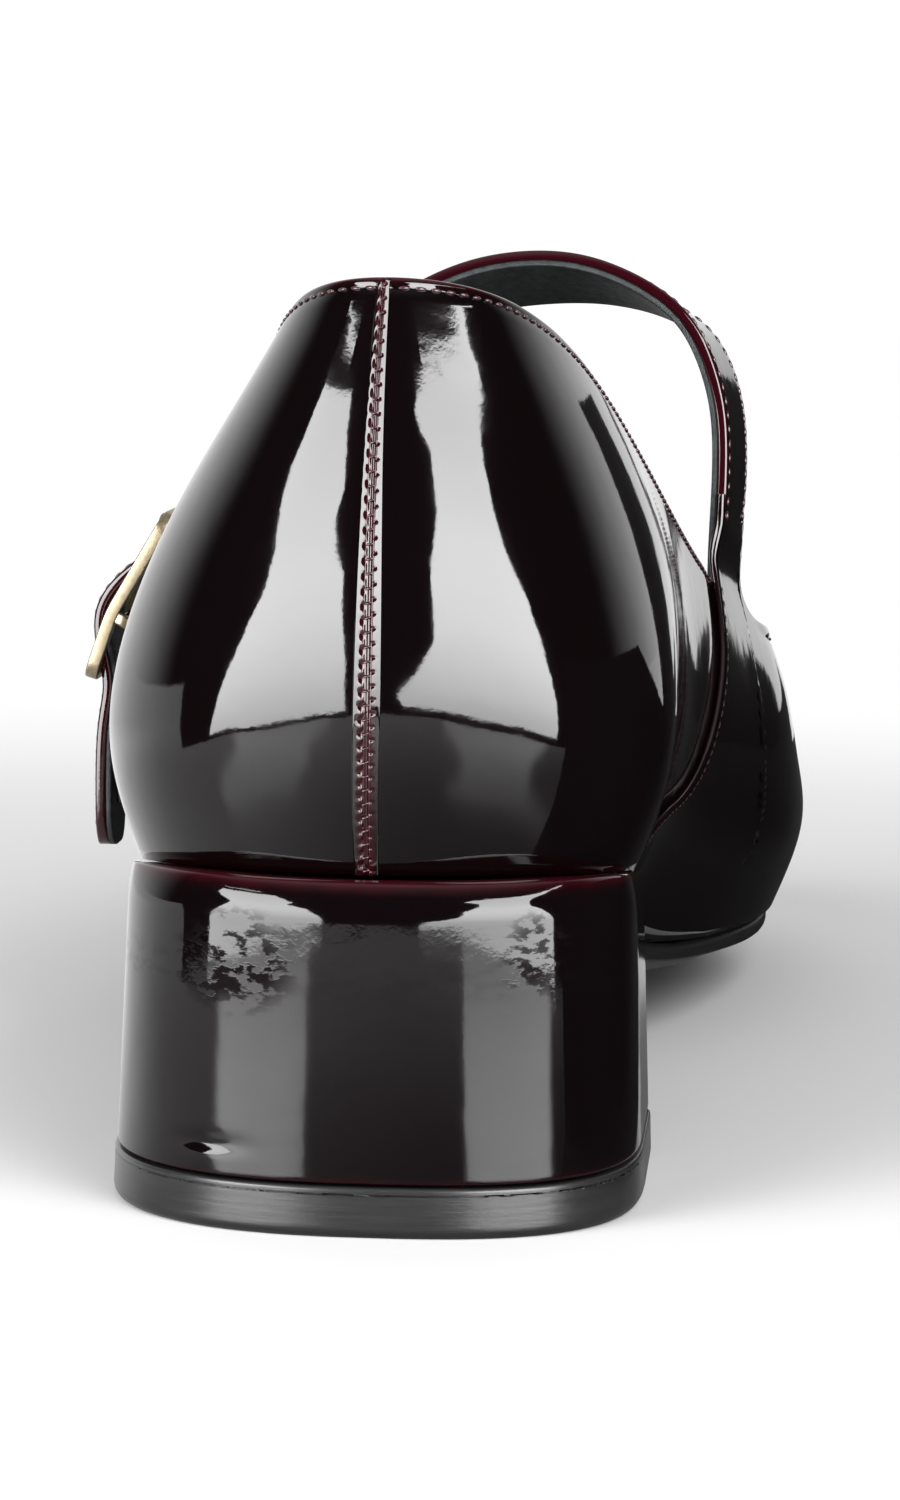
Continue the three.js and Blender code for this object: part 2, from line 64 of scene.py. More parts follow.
# distance from the back, height, medial half-width, lateral half-width; feather to topline
LAST = np.array([
    [[2, 36.4, 0.8, -0.8], [-1.3, 49.5, 0.9, -0.9], [-1.6, 64.5, 1.2, -1.2],
     [0.9, 80.8, 1.5, -1.5], [5, 96.2, 1.8, -1.8]],
    [[9, 36, 18.6, 17.8], [6.4, 48.8, 21, 19.9], [6.9, 63.6, 20.3, 18.4],
     [9.2, 79, 17, 13.4], [13, 94.4, 12.2, 7.4]],
    [[27, 34.2, 25.9, 25.9], [27, 46.2, 29.4, 29.3], [27.8, 60, 28.6, 27.4],
     [29.2, 74.2, 24.8, 21.1], [31, 88.2, 18.9, 12.3]],
    [[49, 31, 24.9, 25.9], [49, 42.2, 28.6, 30.4], [50, 54.8, 29.6, 29.6],
     [51, 67.6, 27.6, 24.1], [52, 79.6, 23.1, 16.9]],
    [[71.5, 24.6, 22, 27], [71.5, 35.4, 27.8, 32.4], [72, 47.4, 29.6, 32.4],
     [72.5, 59.6, 29, 28.7], [73.5, 70.8, 26.5, 23.2]],
    [[94, 17.6, 22.6, 29.8], [94, 29, 30, 35.2], [94, 40.8, 32, 35.8],
     [94, 52, 31.6, 33.6], [94.5, 62.4, 29.7, 30]],
    [[116.5, 13.6, 27.6, 34], [116.5, 24.8, 34.4, 38.2], [116.5, 35.8, 36, 38.6],
     [116.5, 45.8, 35.2, 37.2], [116, 55.6, 33.2, 34.6]],
    [[139, 11.8, 33, 38.6], [139, 22.6, 38.7, 42.9], [138.5, 32.4, 39.7, 42.8],
     [137.5, 41.8, 38.7, 40.8], [136, 51.1, 36.1, 37.2]],
    [[161, 10.8, 36.7, 39.4], [161, 21.6, 40.9, 43.8], [160, 31, 40.7, 42.6],
     [156.5, 40.8, 38.8, 39.4], [152, 49.4, 35.3, 34.8]],
    [[183, 10.4, 37.3, 37.2], [183.5, 20.6, 40.6, 40.6], [181.5, 29.8, 39.3, 38.6],
     [175, 40, 35.1, 34], [163.5, 50.9, 28.3, 27.2]],
    [[204, 11.2, 34, 31.8], [205.5, 20.2, 37, 34.8], [202.5, 29.1, 35, 32.8],
     [190, 40.3, 28.4, 26.8], [169.8, 53.2, 19.6, 18.6]],
    [[225, 12.2, 24, 21.8], [228.5, 20, 26, 23.8], [222.5, 30.1, 24, 22],
     [202, 41.3, 18, 16.8], [172.9, 54.8, 10.2, 9.6]],
    [[236.3, 12.6, 1.3, -1.3], [240.2, 20, 1.3, -1.3], [232.5, 31.2, 1.2, -1.2],
     [208, 42.2, 0.9, -0.9], [174, 55.3, 0.5, -0.5]],
]) * MM
heel_low, heel_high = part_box("top_piece")
TIP_OVERHANG = 0.668 * MM
HERE = np.array([(heel_low.x + heel_high.x) / 2, heel_low.y + TIP_OVERHANG, 0])
print("the back of the heel stands at", HERE)

# %% [markdown]
# ## The spline through the table
#
# A curve through each ring of points, and then across the rings, turns the table into a surface. A
# NURBS surface would do, but it runs beside its points and not through them. So the control points
# are worked out first: those whose curve passes through every row of the table.

# %% The spline
def controls(points, closed):
    """Control points of the uniform cubic B-spline that passes through the given points."""
    count = len(points)
    through = (4 * np.eye(count) + np.eye(count, k=1) + np.eye(count, k=-1)) / 6
    if closed:
        through[0, -1] = through[-1, 0] = 1 / 6
    else:
        through[[0, -1]] = np.eye(count)[[0, -1]]
    return np.tensordot(np.linalg.inv(through), points, 1)


def along(control, t, closed=False):
    """Points of the spline at t, counted in given points from the first."""
    t = np.asarray(t, float)
    count = len(control)
    whole = np.floor(t).astype(int)
    if closed:
        padded = control
    else:
        whole = np.clip(whole, 0, count - 2)
        padded = np.concatenate([[2 * control[0] - control[1]], control, [2 * control[-1] - control[-2]]])
    f = (t - whole)[..., None]
    weights = [(1 - f) ** 3, 3 * f**3 - 6 * f**2 + 4, 3 * f + 3 * f**2 - 3 * f**3 + 1, f**3]
    first = whole - 1 if closed else whole
    return sum(w * padded[(first + k) % len(padded)] for k, w in enumerate(weights)) / 6


def level_ring(level):
    medial = np.stack([LAST[:, level, MEDIAL], LAST[:, level, BACK], LAST[:, level, UP]], 1)
    lateral = np.stack([-LAST[:, level, LATERAL], LAST[:, level, BACK], LAST[:, level, UP]], 1)
    return np.concatenate([medial, lateral[1:-1][::-1]])


AROUND = 2 * (len(LAST) - 1)
rings = np.stack([controls(level_ring(level), True) for level in range(5)])
net = controls(rings, False)


def skin(u, v):
    """The last's surface: u in stations round the shoe from the back, v from feather (0) to topline (1)."""
    u, v = np.broadcast_arrays(np.asarray(u, float), np.asarray(v, float))
    columns = np.stack([along(ring, u, True) for ring in net])
    t = v * 4
    whole = np.clip(np.floor(t).astype(int), 0, 3)
    f = (t - whole)[..., None]
    weights = [(1 - f) ** 3, 3 * f**3 - 6 * f**2 + 4, 3 * f + 3 * f**2 - 3 * f**3 + 1, f**3]
    padded = np.concatenate([[2 * columns[0] - columns[1]], columns, [2 * columns[-1] - columns[-2]]])
    rows = np.indices(whole.shape)
    return HERE + sum(w * padded[(whole + k, *rows)] for k, w in enumerate(weights)) / 6


def unit(vectors):
    return vectors / np.linalg.norm(vectors, axis=-1, keepdims=True)


def outward(u, v):
    """The last's outward normal."""
    e = 1e-3
    return unit(np.cross(skin(u + e, v) - skin(u - e, v), skin(u, v + e) - skin(u, v - e)))


upper_low, upper_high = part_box("upper")
sample = skin(*np.meshgrid(np.linspace(0, AROUND, 400), np.linspace(0, 1, 60)))
print("last's box:", sample.min((0, 1)), sample.max((0, 1)), "frame's:", upper_low, upper_high)

# %% [markdown]
# ## Shader maths
#
# Node trees can be wired by hand, but a long sum of Math nodes is hard to read. Wrapping a socket in a
# small class lets the shaders below be written as ordinary sums, and one method adds any other node.

# %% A wire between shader nodes
class Wire:
    """One output of a shader node. Sums on it add Math nodes to the same tree."""

    def __init__(self, tree, socket=None):
        self.tree, self.socket = tree, socket

    def node(self, kind, settings=None, inputs=None, out=0):
        made = self.tree.nodes.new(kind)
        for name, value in (settings or {}).items():
            setattr(made, name, value)
        for name, value in (inputs or {}).items():
            if isinstance(value, Wire):
                self.tree.links.new(value.socket, made.inputs[name])
            else:
                made.inputs[name].default_value = value
        return Wire(self.tree, made.outputs[out])

    def math(self, operation, first, second=0.0):
        return self.node("ShaderNodeMath", {"operation": operation}, {0: first, 1: second})

    def __add__(self, other):
        return self.math("ADD", self, other)

    def __sub__(self, other):
        return self.math("SUBTRACT", self, other)

    def __rsub__(self, other):
        return self.math("SUBTRACT", other, self)

    def __mul__(self, other):
        return self.math("MULTIPLY", self, other)

    def __truediv__(self, other):
        return self.math("DIVIDE", self, other)

    def __pow__(self, other):
        return self.math("POWER", self, other)

    __radd__, __rmul__ = __add__, __mul__

    def smooth(self, low, high):
        """0 below low, 1 above high, eased between."""
        settings = {"interpolation_type": "SMOOTHSTEP"}
        inputs = {"Value": self, "From Min": low, "From Max": high}
        return self.node("ShaderNodeMapRange", settings, inputs)

    def blend(self, a, b):
        """The colour a where this is 0 and b where it is 1."""
        settings = {"data_type": "RGBA"}
        return self.node("ShaderNodeMix", settings, {0: self, 6: a, 7: b}, 2)


def new_material(name, constants):
    """A material with a Principled shader, its constant values set, and a wire to build from."""
    material = bpy.data.materials.new(name)
    material.use_nodes = True
    shader = material.node_tree.nodes["Principled BSDF"]
    for socket, value in constants.items():
        shader.inputs[socket].default_value = value
    return material, shader, Wire(material.node_tree)


def feed(shader, **inputs):
    """Links wires to the shader's sockets: base_color=... goes to Base Color."""
    for name, wire in inputs.items():
        socket = shader.inputs[name.replace("_", " ").title()]
        wire.tree.links.new(wire.socket, socket)


def noise(wire, scale, detail=3.0, stretch=(1, 1, 1), rough=0.5):
    """Noise on object coordinates; scale is in waves per metre."""
    place = wire.node("ShaderNodeTexCoord", out="Object")
    place = wire.node("ShaderNodeMapping", None, {"Vector": place, "Scale": stretch})
    inputs = {"Vector": place, "Scale": scale, "Detail": detail, "Roughness": rough}
    return wire.node("ShaderNodeTexNoise", None, inputs, "Fac")


def bump(wire, height, depth):
    """A bump whose height runs from 0 to 1 over the given depth in metres."""
    return wire.node("ShaderNodeBump", None, {"Height": height, "Distance": depth, "Strength": 1.0}, "Normal")

# %% [markdown]
# ## Patent leather
#
# The leather is sprayed burgundy, then coated with a near-black glaze that is wiped thin at every edge
# and seam, so the red shows through there. A painted image could carry this, but a shader does it at
# any size: a dark base, a burgundy mixed in by an edge value stored on each mesh, a very smooth
# surface, and a faint bump, because a glazed skin is never quite flat and its reflections tremble.

# %% The leather's finish
GLAZE = (0.0035, 0.0018, 0.0022, 1)
BURGUNDY = (0.032, 0.0024, 0.0058, 1)


RIPPLE, RIPPLE_DEPTH = 110, 0.06 * MM


def patent_leather(name, crease=None, glaze_index=1.55):
    """Glaze over burgundy, worn where the mesh's edge value is high, with painted shade where crease says."""
    constants = {"IOR": glaze_index, "Specular IOR Level": 0.5}
    material, shader, wire = new_material(name, constants)
    edge = wire.node("ShaderNodeAttribute", {"attribute_name": "edge"}, out="Fac")
    cloud = noise(wire, 260, 4)
    worn = (edge * (0.55 + cloud)).smooth(0.12, 0.85)
    feed(shader, base_color=worn.blend(GLAZE, BURGUNDY), roughness=0.02 + 0.06 * cloud)
    height = noise(wire, RIPPLE, 2.0) + 0.05 * noise(wire, 1500, 3.0)
    if crease is not None:
        strokes = crease(wire)
        height = height + 0.04 * strokes
        # the crease strokes are painted shade: a dark, near-matte shader mixed in over the glaze
        shade_settings = {"Base Color": GLAZE, "Roughness": 0.6, "Specular IOR Level": 0.04}
        painted_crease_shade = wire.node("ShaderNodeBsdfPrincipled", None, shade_settings)
        shiny = Wire(wire.tree, shader.outputs[0])
        mixed = wire.node("ShaderNodeMixShader", None, {0: strokes, 1: shiny, 2: painted_crease_shade})
        wire.tree.links.new(mixed.socket, wire.tree.nodes["Material Output"].inputs["Surface"])
    feed(shader, normal=bump(wire, height, RIPPLE_DEPTH))
    return material


patent = patent_leather("patent_leather")
print("finish:", patent.name)

# %% [markdown]
# ## The other finishes
#
# The inside is a matt grainy lining. The sole is a smooth black composition, the heel's tip is satin
# rubber with a brushed edge, the stitches are waxed thread, and the buckle is pale plated gold. Each
# is a Principled shader with its own noise, stretched where the real one was brushed. Separate image
# maps would show their pattern when looked at closely; noise doesn't repeat.

# %% Lining, sole, rubber, thread and gold
def plain_finish(name, dark, light, rough, scale, depth, constants=None, stretch=(1, 1, 1)):
    """Two colours mixed by noise, roughness that varies a little round rough, and a bump."""
    material, shader, wire = new_material(name, constants or {})
    grain = noise(wire, scale, 5.0, stretch, 0.6)
    broad = noise(wire, scale / 12, 2.0)
    mask = grain.smooth(0.3, 0.7)
    feed(shader, base_color=mask.blend((*dark, 1), (*light, 1)), roughness=rough - 0.08 + 0.16 * broad)
    feed(shader, normal=bump(wire, grain, depth))
    return material


lining_leather = plain_finish("lining_leather", (0.008, 0.010, 0.011), (0.030, 0.036, 0.037), 0.62, 900,
                              0.00012)
sole_black = plain_finish("sole_black", (0.010, 0.010, 0.011), (0.018, 0.018, 0.019), 0.38, 500, 0.00003)
tip_rubber = plain_finish("tip_rubber", (0.014, 0.014, 0.015), (0.024, 0.024, 0.025), 0.34, 700, 0.00003,
                          {"Coat Weight": 0.3, "Coat Roughness": 0.18}, (0.12, 0.12, 2.2))
thread = plain_finish("waxed_thread", (0.030, 0.006, 0.010), (0.075, 0.018, 0.026), 0.3, 2500, 0.00004,
                      {"Coat Weight": 0.7, "Coat Roughness": 0.15})
gold = plain_finish("pale_gold", (0.33, 0.27, 0.18), (0.42, 0.345, 0.235), 0.40, 1600, 0.00001,
                    {"Metallic": 1.0}, (1, 0.15, 1))

# %% [markdown]
# ## Building with grids
#
# Leather is sheet, and a sheet is a grid of points on the last with a little thickness. The grid is
# crowded towards each edge, so the fold there is really round, and the distance to the edge is kept on
# the mesh for the glaze to wear by.

# %% Grid helpers
SAME_PLACE = 2e-7
NEAR = np.array([0, 0.04, 0.12, 0.25, 0.4, 0.6, 0.85, 1.1, 1.4, 1.8, 2.4]) * MM


def grid_faces(rows, columns, start=0, flip=False, wrap=False):
    """Quads of a grid; wrap joins the last column to the first."""
    index = start + np.arange(rows * columns).reshape(rows, columns)
    if wrap:
        index = np.concatenate([index, index[:, :1]], 1)
    quads = np.stack([index[:-1, :-1], index[:-1, 1:], index[1:, 1:], index[1:, :-1]], -1).reshape(-1, 4)
    return quads[:, ::-1] if flip else quads


def bulge(distance, radius):
    """A quarter circle: 0 at the edge, 1 from radius inwards."""
    return np.sqrt(1 - (1 - np.clip(distance / radius, 0, 1)) ** 2)


def ease(x, low, high):
    t = np.clip((x - low) / (high - low), 0, 1)
    return t * t * (3 - 2 * t)


def make_piece(name, points, faces, material, **values):
    """A mesh piece with smooth shading; values are kept on its points as attributes."""
    mesh = bpy.data.meshes.new(name)
    mesh.from_pydata(np.reshape(points, (-1, 3)).tolist(), [], [list(map(int, face)) for face in faces])
    for key, numbers in values.items():
        attribute = mesh.attributes.new(key, "FLOAT", "POINT")
        attribute.data.foreach_set("value", np.ravel(numbers).astype(np.float32))
    mesh.materials.append(material)
    weld = bmesh.new()
    weld.from_mesh(mesh)
    bmesh.ops.remove_doubles(weld, verts=weld.verts, dist=SAME_PLACE)
    weld.to_mesh(mesh)
    weld.free()
    mesh.shade_smooth()
    piece = bpy.data.objects.new(name, mesh)
    bpy.context.scene.collection.objects.link(piece)
    print(f"{name}: {len(mesh.polygons)} faces")
    return piece


def shell_faces(rows, columns, wrap=False):
    """Faces of a closed shell: an outer grid, an inner one after it, and the strips between them."""
    count = rows * columns
    faces = [grid_faces(rows, columns, 0, False, wrap), grid_faces(rows, columns, count, True, wrap)]
    index = np.arange(count).reshape(rows, columns)
    borders = [(index[0], True), (index[-1], False)]
    if not wrap:
        borders += [(index[:, 0], False), (index[:, -1], True)]
    for line, flip in borders:
        a, b = line[:-1], line[1:]
        if wrap:
            a, b = line, np.roll(line, -1)
        strip = np.stack([a, b, b + count, a + count], 1)
        faces.append(strip[:, ::-1] if flip else strip)
    return np.concatenate(faces)


def leather_sheet(name, u, v, low, high, material, edge, wrap=False):
    """A sheet over the last between the offsets low and high."""
    u, v, low, high, edge = np.broadcast_arrays(u, v, low, high, edge)
    surface, normal = skin(u, v), outward(u, v)
    points = np.concatenate([surface + normal * high[..., None], surface + normal * low[..., None]])
    return make_piece(name, points, shell_faces(*u.shape, wrap), material, edge=np.concatenate([edge, edge]))


# %% [markdown]
# ## The pattern pieces of the upper
#
# The upper is two pieces. The vamp covers the toe and the sides and runs up into the strap, and it laps
# over the quarter, which wraps the heel. The lap runs from the strap's rear edge down to the heel's
# breast on both sides. Cutting one mesh along that line would leave ragged teeth, so each piece gets
# its own grid whose border is the lap line itself.

# %% Where the vamp laps over the quarter
# height on the last (v), station
LAP = np.array([[0.0, 3.0], [0.02, 3.06], [0.145, 3.57], [0.25, 4.02], [0.33, 4.4], [0.5, 4.9],
                [0.72, 5.26], [0.85, 5.40], [1.0, 5.50], [1.15, 5.57], [1.4, 5.61]])
STEP_UP = 0.45 * MM
SKIN_THICK = 1.0 * MM


def lap_at(v):
    dense = along(controls(LAP, False), np.linspace(0, len(LAP) - 1, 300))
    return np.interp(v, dense[:, 0], dense[:, 1])


def wall_height(u):
    """Length of the last's wall from the feather to the topline."""
    return np.linalg.norm(skin(u, 1.0) - skin(u, 0.0), axis=-1) * 1.02


def stitch_groove(distance, at):
    return -0.10 * MM * np.exp(-(((distance - at) / (0.35 * MM)) ** 2))


# %% [markdown]
# ## The quarter
#
# The quarter is the piece that wraps the heel. Under the vamp it is tucked in by a fraction of its
# thickness, so the lap rises softly and not as a step. Near the topline a shallow groove takes the
# stitches. It could be shaped by hand, but offsets from the last keep its thickness even.

# %% The quarter
TOP_ROW = 1.15 * MM
UNDER_VAMP = 0.3
STATION = 23 * MM
v_plain = np.concatenate([np.linspace(0, 0.94, 40), np.linspace(0.95, 1, len(NEAR))])[:, None]
u = np.linspace(-1, 1, 261)[None, :] * (lap_at(v_plain) + UNDER_VAMP)
heights = wall_height(u[-1:, :])
v = np.where(v_plain < 0.945, v_plain, 1 - np.concatenate([np.zeros(40), NEAR[::-1]])[:, None] / heights)
from_top = (1 - v) * heights
to_lap = (lap_at(v) - np.abs(u)) * STATION
tuck = STEP_UP * (1 - ease(to_lap, 0, 9 * MM))
half = SKIN_THICK / 2
fold = bulge(from_top, 0.5 * MM)
high = half * (fold - 1) + stitch_groove(from_top, TOP_ROW) - tuck
low = -half - half * fold - tuck * 0.3
edge = np.exp(-from_top / (0.55 * MM))
quarter = leather_sheet("quarter", u, v, low, high, patent, edge)

# %% [markdown]
# ## The strap's route
#
# The strap leaves the inner side of the vamp, arches over the instep, dips under the buckle's top bar,
# over its middle bar and under the end bar, and its tail hangs down the outer side. The frame gives
# the route as points with two angles: how far the front edge dips and how far the strap turns outward.

# %% The strap's frame
# x, y, height, dip, turn
ROUTE = np.array([
    [32.3, 112.8, 53, 0, 9], [32.2, 113, 61, 0, 9], [32.5, 113.4, 68, 1, 10], [32.5, 113.8, 75, 3, 10],
    [31.6, 114.1, 81, 4, 10], [29.2, 114.3, 86.6, 7, 10], [24.9, 114.4, 90.7, 11, 8],
    [18.4, 114.4, 93.3, 18, 4], [11, 114.4, 94.2, 25, 0], [2, 114.3, 93, 27, -2],
    [-7, 114, 89.2, 23, -3], [-16.6, 113.5, 82.8, 16, -3], [-25, 113, 74.4, 8, -2],
    [-31.4, 112.6, 64.6, 2, 0], [-37, 112.5, 59.6, 0, 0], [-42.5, 112.5, 53.4, 0, 0],
    [-41.7, 112.5, 45.4, 0, 0], [-42.3, 112.5, 38.4, 0, 0], [-42.3, 112.5, 24.4, 0, 0],
]) * [MM, MM, MM, np.pi / 180, np.pi / 180]
ROUTE[:, :3] += HERE
STRAP_HALF = 6 * MM
route = controls(ROUTE, False)
LAST_ROW = len(ROUTE) - 1


def strap_frame(t):
    """Middle, direction, width and outward vectors of the strap at route position t."""
    values = along(route, t)
    ahead = along(route, np.minimum(t + 1e-3, LAST_ROW)) - along(route, np.maximum(t - 1e-3, 0))
    tangent = unit(ahead[..., :3])
    dip, turn = values[..., 3], values[..., 4]
    wide = np.stack([np.sin(turn), np.cos(turn) * np.cos(dip), -np.sin(dip)], -1)
    wide = unit(wide - tangent * (wide * tangent).sum(-1, keepdims=True))
    return values[..., :3], tangent, wide, np.cross(wide, tangent)


steps = np.linspace(0, LAST_ROW, 400)
strap_length = np.linalg.norm(np.diff(strap_frame(steps)[0], axis=0), axis=1).sum()
print(f"strap: {strap_length * 1000:.0f} mm from root to tip")

# %% [markdown]
# ## The vamp and the root of the strap
#
# The vamp is one leather with the strap's root, which rises from its inner side. Two meshes would show
# a joint that the real shoe doesn't have, so the top edge of the vamp's grid simply climbs above the
# topline there, and the points above it are bent from the last's surface into the strap's plane.

# %% The vamp, with the root of the strap
# station, height of the top edge on the last: 1 is the topline, and the strap's root stands above it
ROOT = np.array([[4.9, 1.27], [5.5, 1.27], [6.13, 1.27], [6.20, 1.22], [6.26, 1.13], [6.34, 1.06],
                 [6.5, 1.02], [6.8, 1.003], [7.3, 1.0], [7.8, 1.0]])


def top_at(u):
    dense = along(controls(ROOT, False), np.linspace(0, len(ROOT) - 1, 400))
    return np.interp(u, dense[:, 0], dense[:, 1])


def distance_to(points, line):
    """Distance of every point to the nearest of a line's points."""
    tree = KDTree(len(line))
    for n, p in enumerate(line):
        tree.insert(p, n)
    tree.balance()
    return np.array([tree.find(p)[2] for p in points.reshape(-1, 3)]).reshape(points.shape[:-1])


def densely(line, count=3000):
    """The same line with evenly spaced points."""
    length = np.concatenate([[0], np.cumsum(np.linalg.norm(np.diff(line, axis=0), axis=1))])
    even = np.linspace(0, length[-1], count)
    return np.stack([np.interp(even, length, line[:, k]) for k in range(3)], 1)


def into_strap(points, v, depth):
    """Bends points above the topline from the last's surface into the strap's plane, depth below its face."""
    middle, _, wide, _ = strap_frame(np.interp(points[..., 2], ROUTE[:4, 2], np.arange(4)))
    plane = middle[..., 0] + wide[..., 0] / wide[..., 1] * (points[..., 1] - middle[..., 1]) + MM - depth
    share = ease(v, 1.0, 1.2) * (points[..., 0] > HERE[0])
    return np.stack([points[..., 0] + share * (plane - points[..., 0]), points[..., 1], points[..., 2]], -1)


THROAT_ROW = 1.9 * MM
near_side = NEAR / (300 * MM)
across_vamp = [near_side, np.linspace(0.010, 0.12, 70), np.linspace(0.125, 0.99, 230), 1 - near_side[::-1]]
s = np.concatenate(across_vamp)[None, :]
t = np.concatenate([np.linspace(0, 0.95, 44), 1 - NEAR[::-1] / (50 * MM)])[:, None]
v = t * np.ones_like(s)
for _ in range(6):
    u = lap_at(v) * (1 - s) + (AROUND - lap_at(np.minimum(v, 1))) * s
    v = t * top_at(u)
surface, normal = skin(u, v), outward(u, v)
bent = into_strap(surface, v, 0)
from_top = distance_to(bent, densely(bent[-1]))
from_lap = np.minimum(distance_to(bent, densely(bent[:, 0])), distance_to(bent, densely(bent[:, -1])))
fold = bulge(np.minimum(from_top + (v > 1.25), from_lap), 0.55 * MM)
lift = STEP_UP * (1 - 0.8 * ease(from_lap, 2 * MM, 30 * MM)) * (1 - 0.6 * ease(v, 1.0, 1.2))
past_root = ease(u, 6.6, 7.2)
rim = 0.25 * MM * ease(from_top, THROAT_ROW, 1.1 * MM) * past_root
crease = stitch_groove(from_top, THROAT_ROW) * past_root
high = lift + rim + crease - half * (1 - fold)
low = lift - half - half * fold
sunk = 0.1 * MM * ease(v, 1.12, 1.26)
outer = into_strap(surface + normal * high[..., None], v, half * (1 - fold) + sunk)
inner = into_strap(surface + normal * low[..., None], v, half + (half + 0.3 * MM) * fold)
edge = np.maximum(np.exp(-(from_top + (v > 1.25)) / (0.5 * MM)), 0.35 * np.exp(-from_lap / (0.25 * MM)))
both = np.concatenate([outer, inner])
vamp = make_piece("vamp", both, shell_faces(*u.shape), patent, edge=np.stack([edge, edge]))

# %% [markdown]
# ## The lining
#
# Inside, one matt lining covers the whole wall and is folded against the leather a little below the
# topline. It could be the back of the same mesh, but a piece of its own gives the seam its thin line.

# %% The lining
u = np.linspace(0, AROUND, 241)[None, :-1]
heights = wall_height(u)
LINING_TOP = 0.988
below = np.linspace(0, 0.94, 36)[:, None] * np.ones_like(u)
v = np.concatenate([below, LINING_TOP - NEAR[::-1, None] / heights])
from_top = (LINING_TOP - v) * heights
fold = bulge(from_top, 0.4 * MM)
LINING = 0.4 * MM
high = -SKIN_THICK - LINING + LINING * fold + 0.12 * MM
low = -SKIN_THICK - LINING - LINING * fold
lining = leather_sheet("lining", u, v, low, high, lining_leather, 0 * v, True)

# %% [markdown]
# ## The seam at the back
#
# The two halves of the quarter meet at the back in a raised seam: two ridges that slope away on the
# outside like low roofs and drop steeply into the furrow between them. The thread pulls the left crest
# into scallops and nicks the right one. A bump map would look flat in profile, so the seam is a real
# strip with about ten rows to each stitch.

# %% The welt
PITCH = 1.42 * MM
WELT = 1.36 * MM
CREST = 0.44 * MM
BACK_STATION = 21.5 * MM
seam_length = float(wall_height(np.array(0.0)))
v = np.linspace(0.0, 1.0, int(seam_length / PITCH * 10))[:, None]
side = np.concatenate([[-1.0, -0.97], np.linspace(-0.93, 0.93, 31), [0.97, 1.0]])[None, :]
beat = v * seam_length / PITCH
scallop = 0.5 - 0.5 * np.cos(2 * np.pi * beat)
nick = np.exp(-(((beat % 1 - 0.5) / 0.09) ** 2))
across = np.abs(side) * WELT
slope = np.clip((WELT - across) / (WELT - CREST), 0, 1)
drop = ease(across, 0.10 * MM, CREST)
near_crest = np.exp(-(((across - CREST) / (0.32 * MM)) ** 2))
pulled = 1 - near_crest * np.where(side < 0, 0.5 - 0.5 * scallop, 0.35 * nick)
height = (0.02 + 0.32 * slope ** 0.8 * drop * pulled - 0.07 * ease(np.abs(side), 0.86, 1)) * MM
LEAN = 0.035 / 1.2


def seam_at(v):
    """The seam's station: it leans a little outwards as it rises."""
    return -LEAN * (0.35 + 1.0 * ease(v, 0.3, 0.95))


u = seam_at(v) + side * WELT / BACK_STATION
fold = bulge((1 - v) * seam_length, 0.5 * MM)
high = height * fold - half * (1 - fold)
low = -half * np.ones_like(high)
fade = np.clip(1 - (across / WELT) ** 2, 0, 1) ** 1.5
edge = (0.85 + 0.6 * ease(v, 0.9, 1.0) + 0.3 * ease(v, 0.12, 0.0)) * fade
welt = leather_sheet("back_seam", u, v, low, high, patent, edge)

# %% [markdown]
# ## The strap
#
# The strap is two leathers sewn together: patent outside, lining inside. A curve with a bevel would
# twist, and its edges could not be finished differently, so each layer is swept as rings along the
# route, with a rounded rectangle for its section and a rounded tail.

# %% Sweeping a band along the strap's route
def section(half_width, low, high, radius, corner=5, flat=9):
    """A rounded rectangle as (across, out) points, counter-clockwise, seen against the route."""
    spots = []
    middles = [(half_width - radius, high - radius), (radius - half_width, high - radius),
               (radius - half_width, low + radius), (half_width - radius, low + radius)]
    for n, (x, y) in enumerate(middles):
        angles = (n + np.linspace(0, 1, corner)) * np.pi / 2
        spots += [(x + radius * np.cos(a), y + radius * np.sin(a)) for a in angles]
        after = middles[(n + 1) % 4]
        if n % 2 == 0:
            ends = np.array(spots[-1]), np.array(spots[-1]) + np.array(after) - (x, y)
            spots += [tuple(ends[0] + (ends[1] - ends[0]) * k) for k in np.linspace(0, 1, flat)[1:-1]]
    return np.array(spots)


def tube_faces(rows, count):
    """Side faces of a swept tube, and a cap on each end."""
    faces = grid_faces(rows, count, 0, False, True).tolist()
    last = (rows - 1) * count
    return faces + [list(range(count))[::-1], list(range(last, last + count))]


def band(name, t, half_width, low, high, radius, material, colour_edges, emerge=0.0):
    """A band along the route; it comes up by emerge over its first few millimetres."""
    middle, _, wide, out = strap_frame(t)
    middle = middle - out * emerge * (1 - ease(t, t[0], t[0] + 0.6))[:, None]
    to_tip = np.concatenate([np.cumsum(np.linalg.norm(np.diff(middle, axis=0), axis=1)[::-1])[::-1], [0]])
    taper = 0.35 + 0.65 * bulge(to_tip, 4.5 * MM)
    shape = section(half_width, low, high, radius)
    points = (middle[:, None] + wide[:, None] * (shape[None, :, :1] * taper[:, None, None])
              + out[:, None] * shape[None, :, 1:])
    worn = ease(np.abs(shape[:, 0]), half_width - 0.55 * MM, half_width - 0.1 * MM) * colour_edges
    edge = np.repeat(worn[None], len(t), 0)
    faces = [face[::-1] for face in tube_faces(len(t), len(shape))]
    return make_piece(name, points, faces, material, edge=edge)


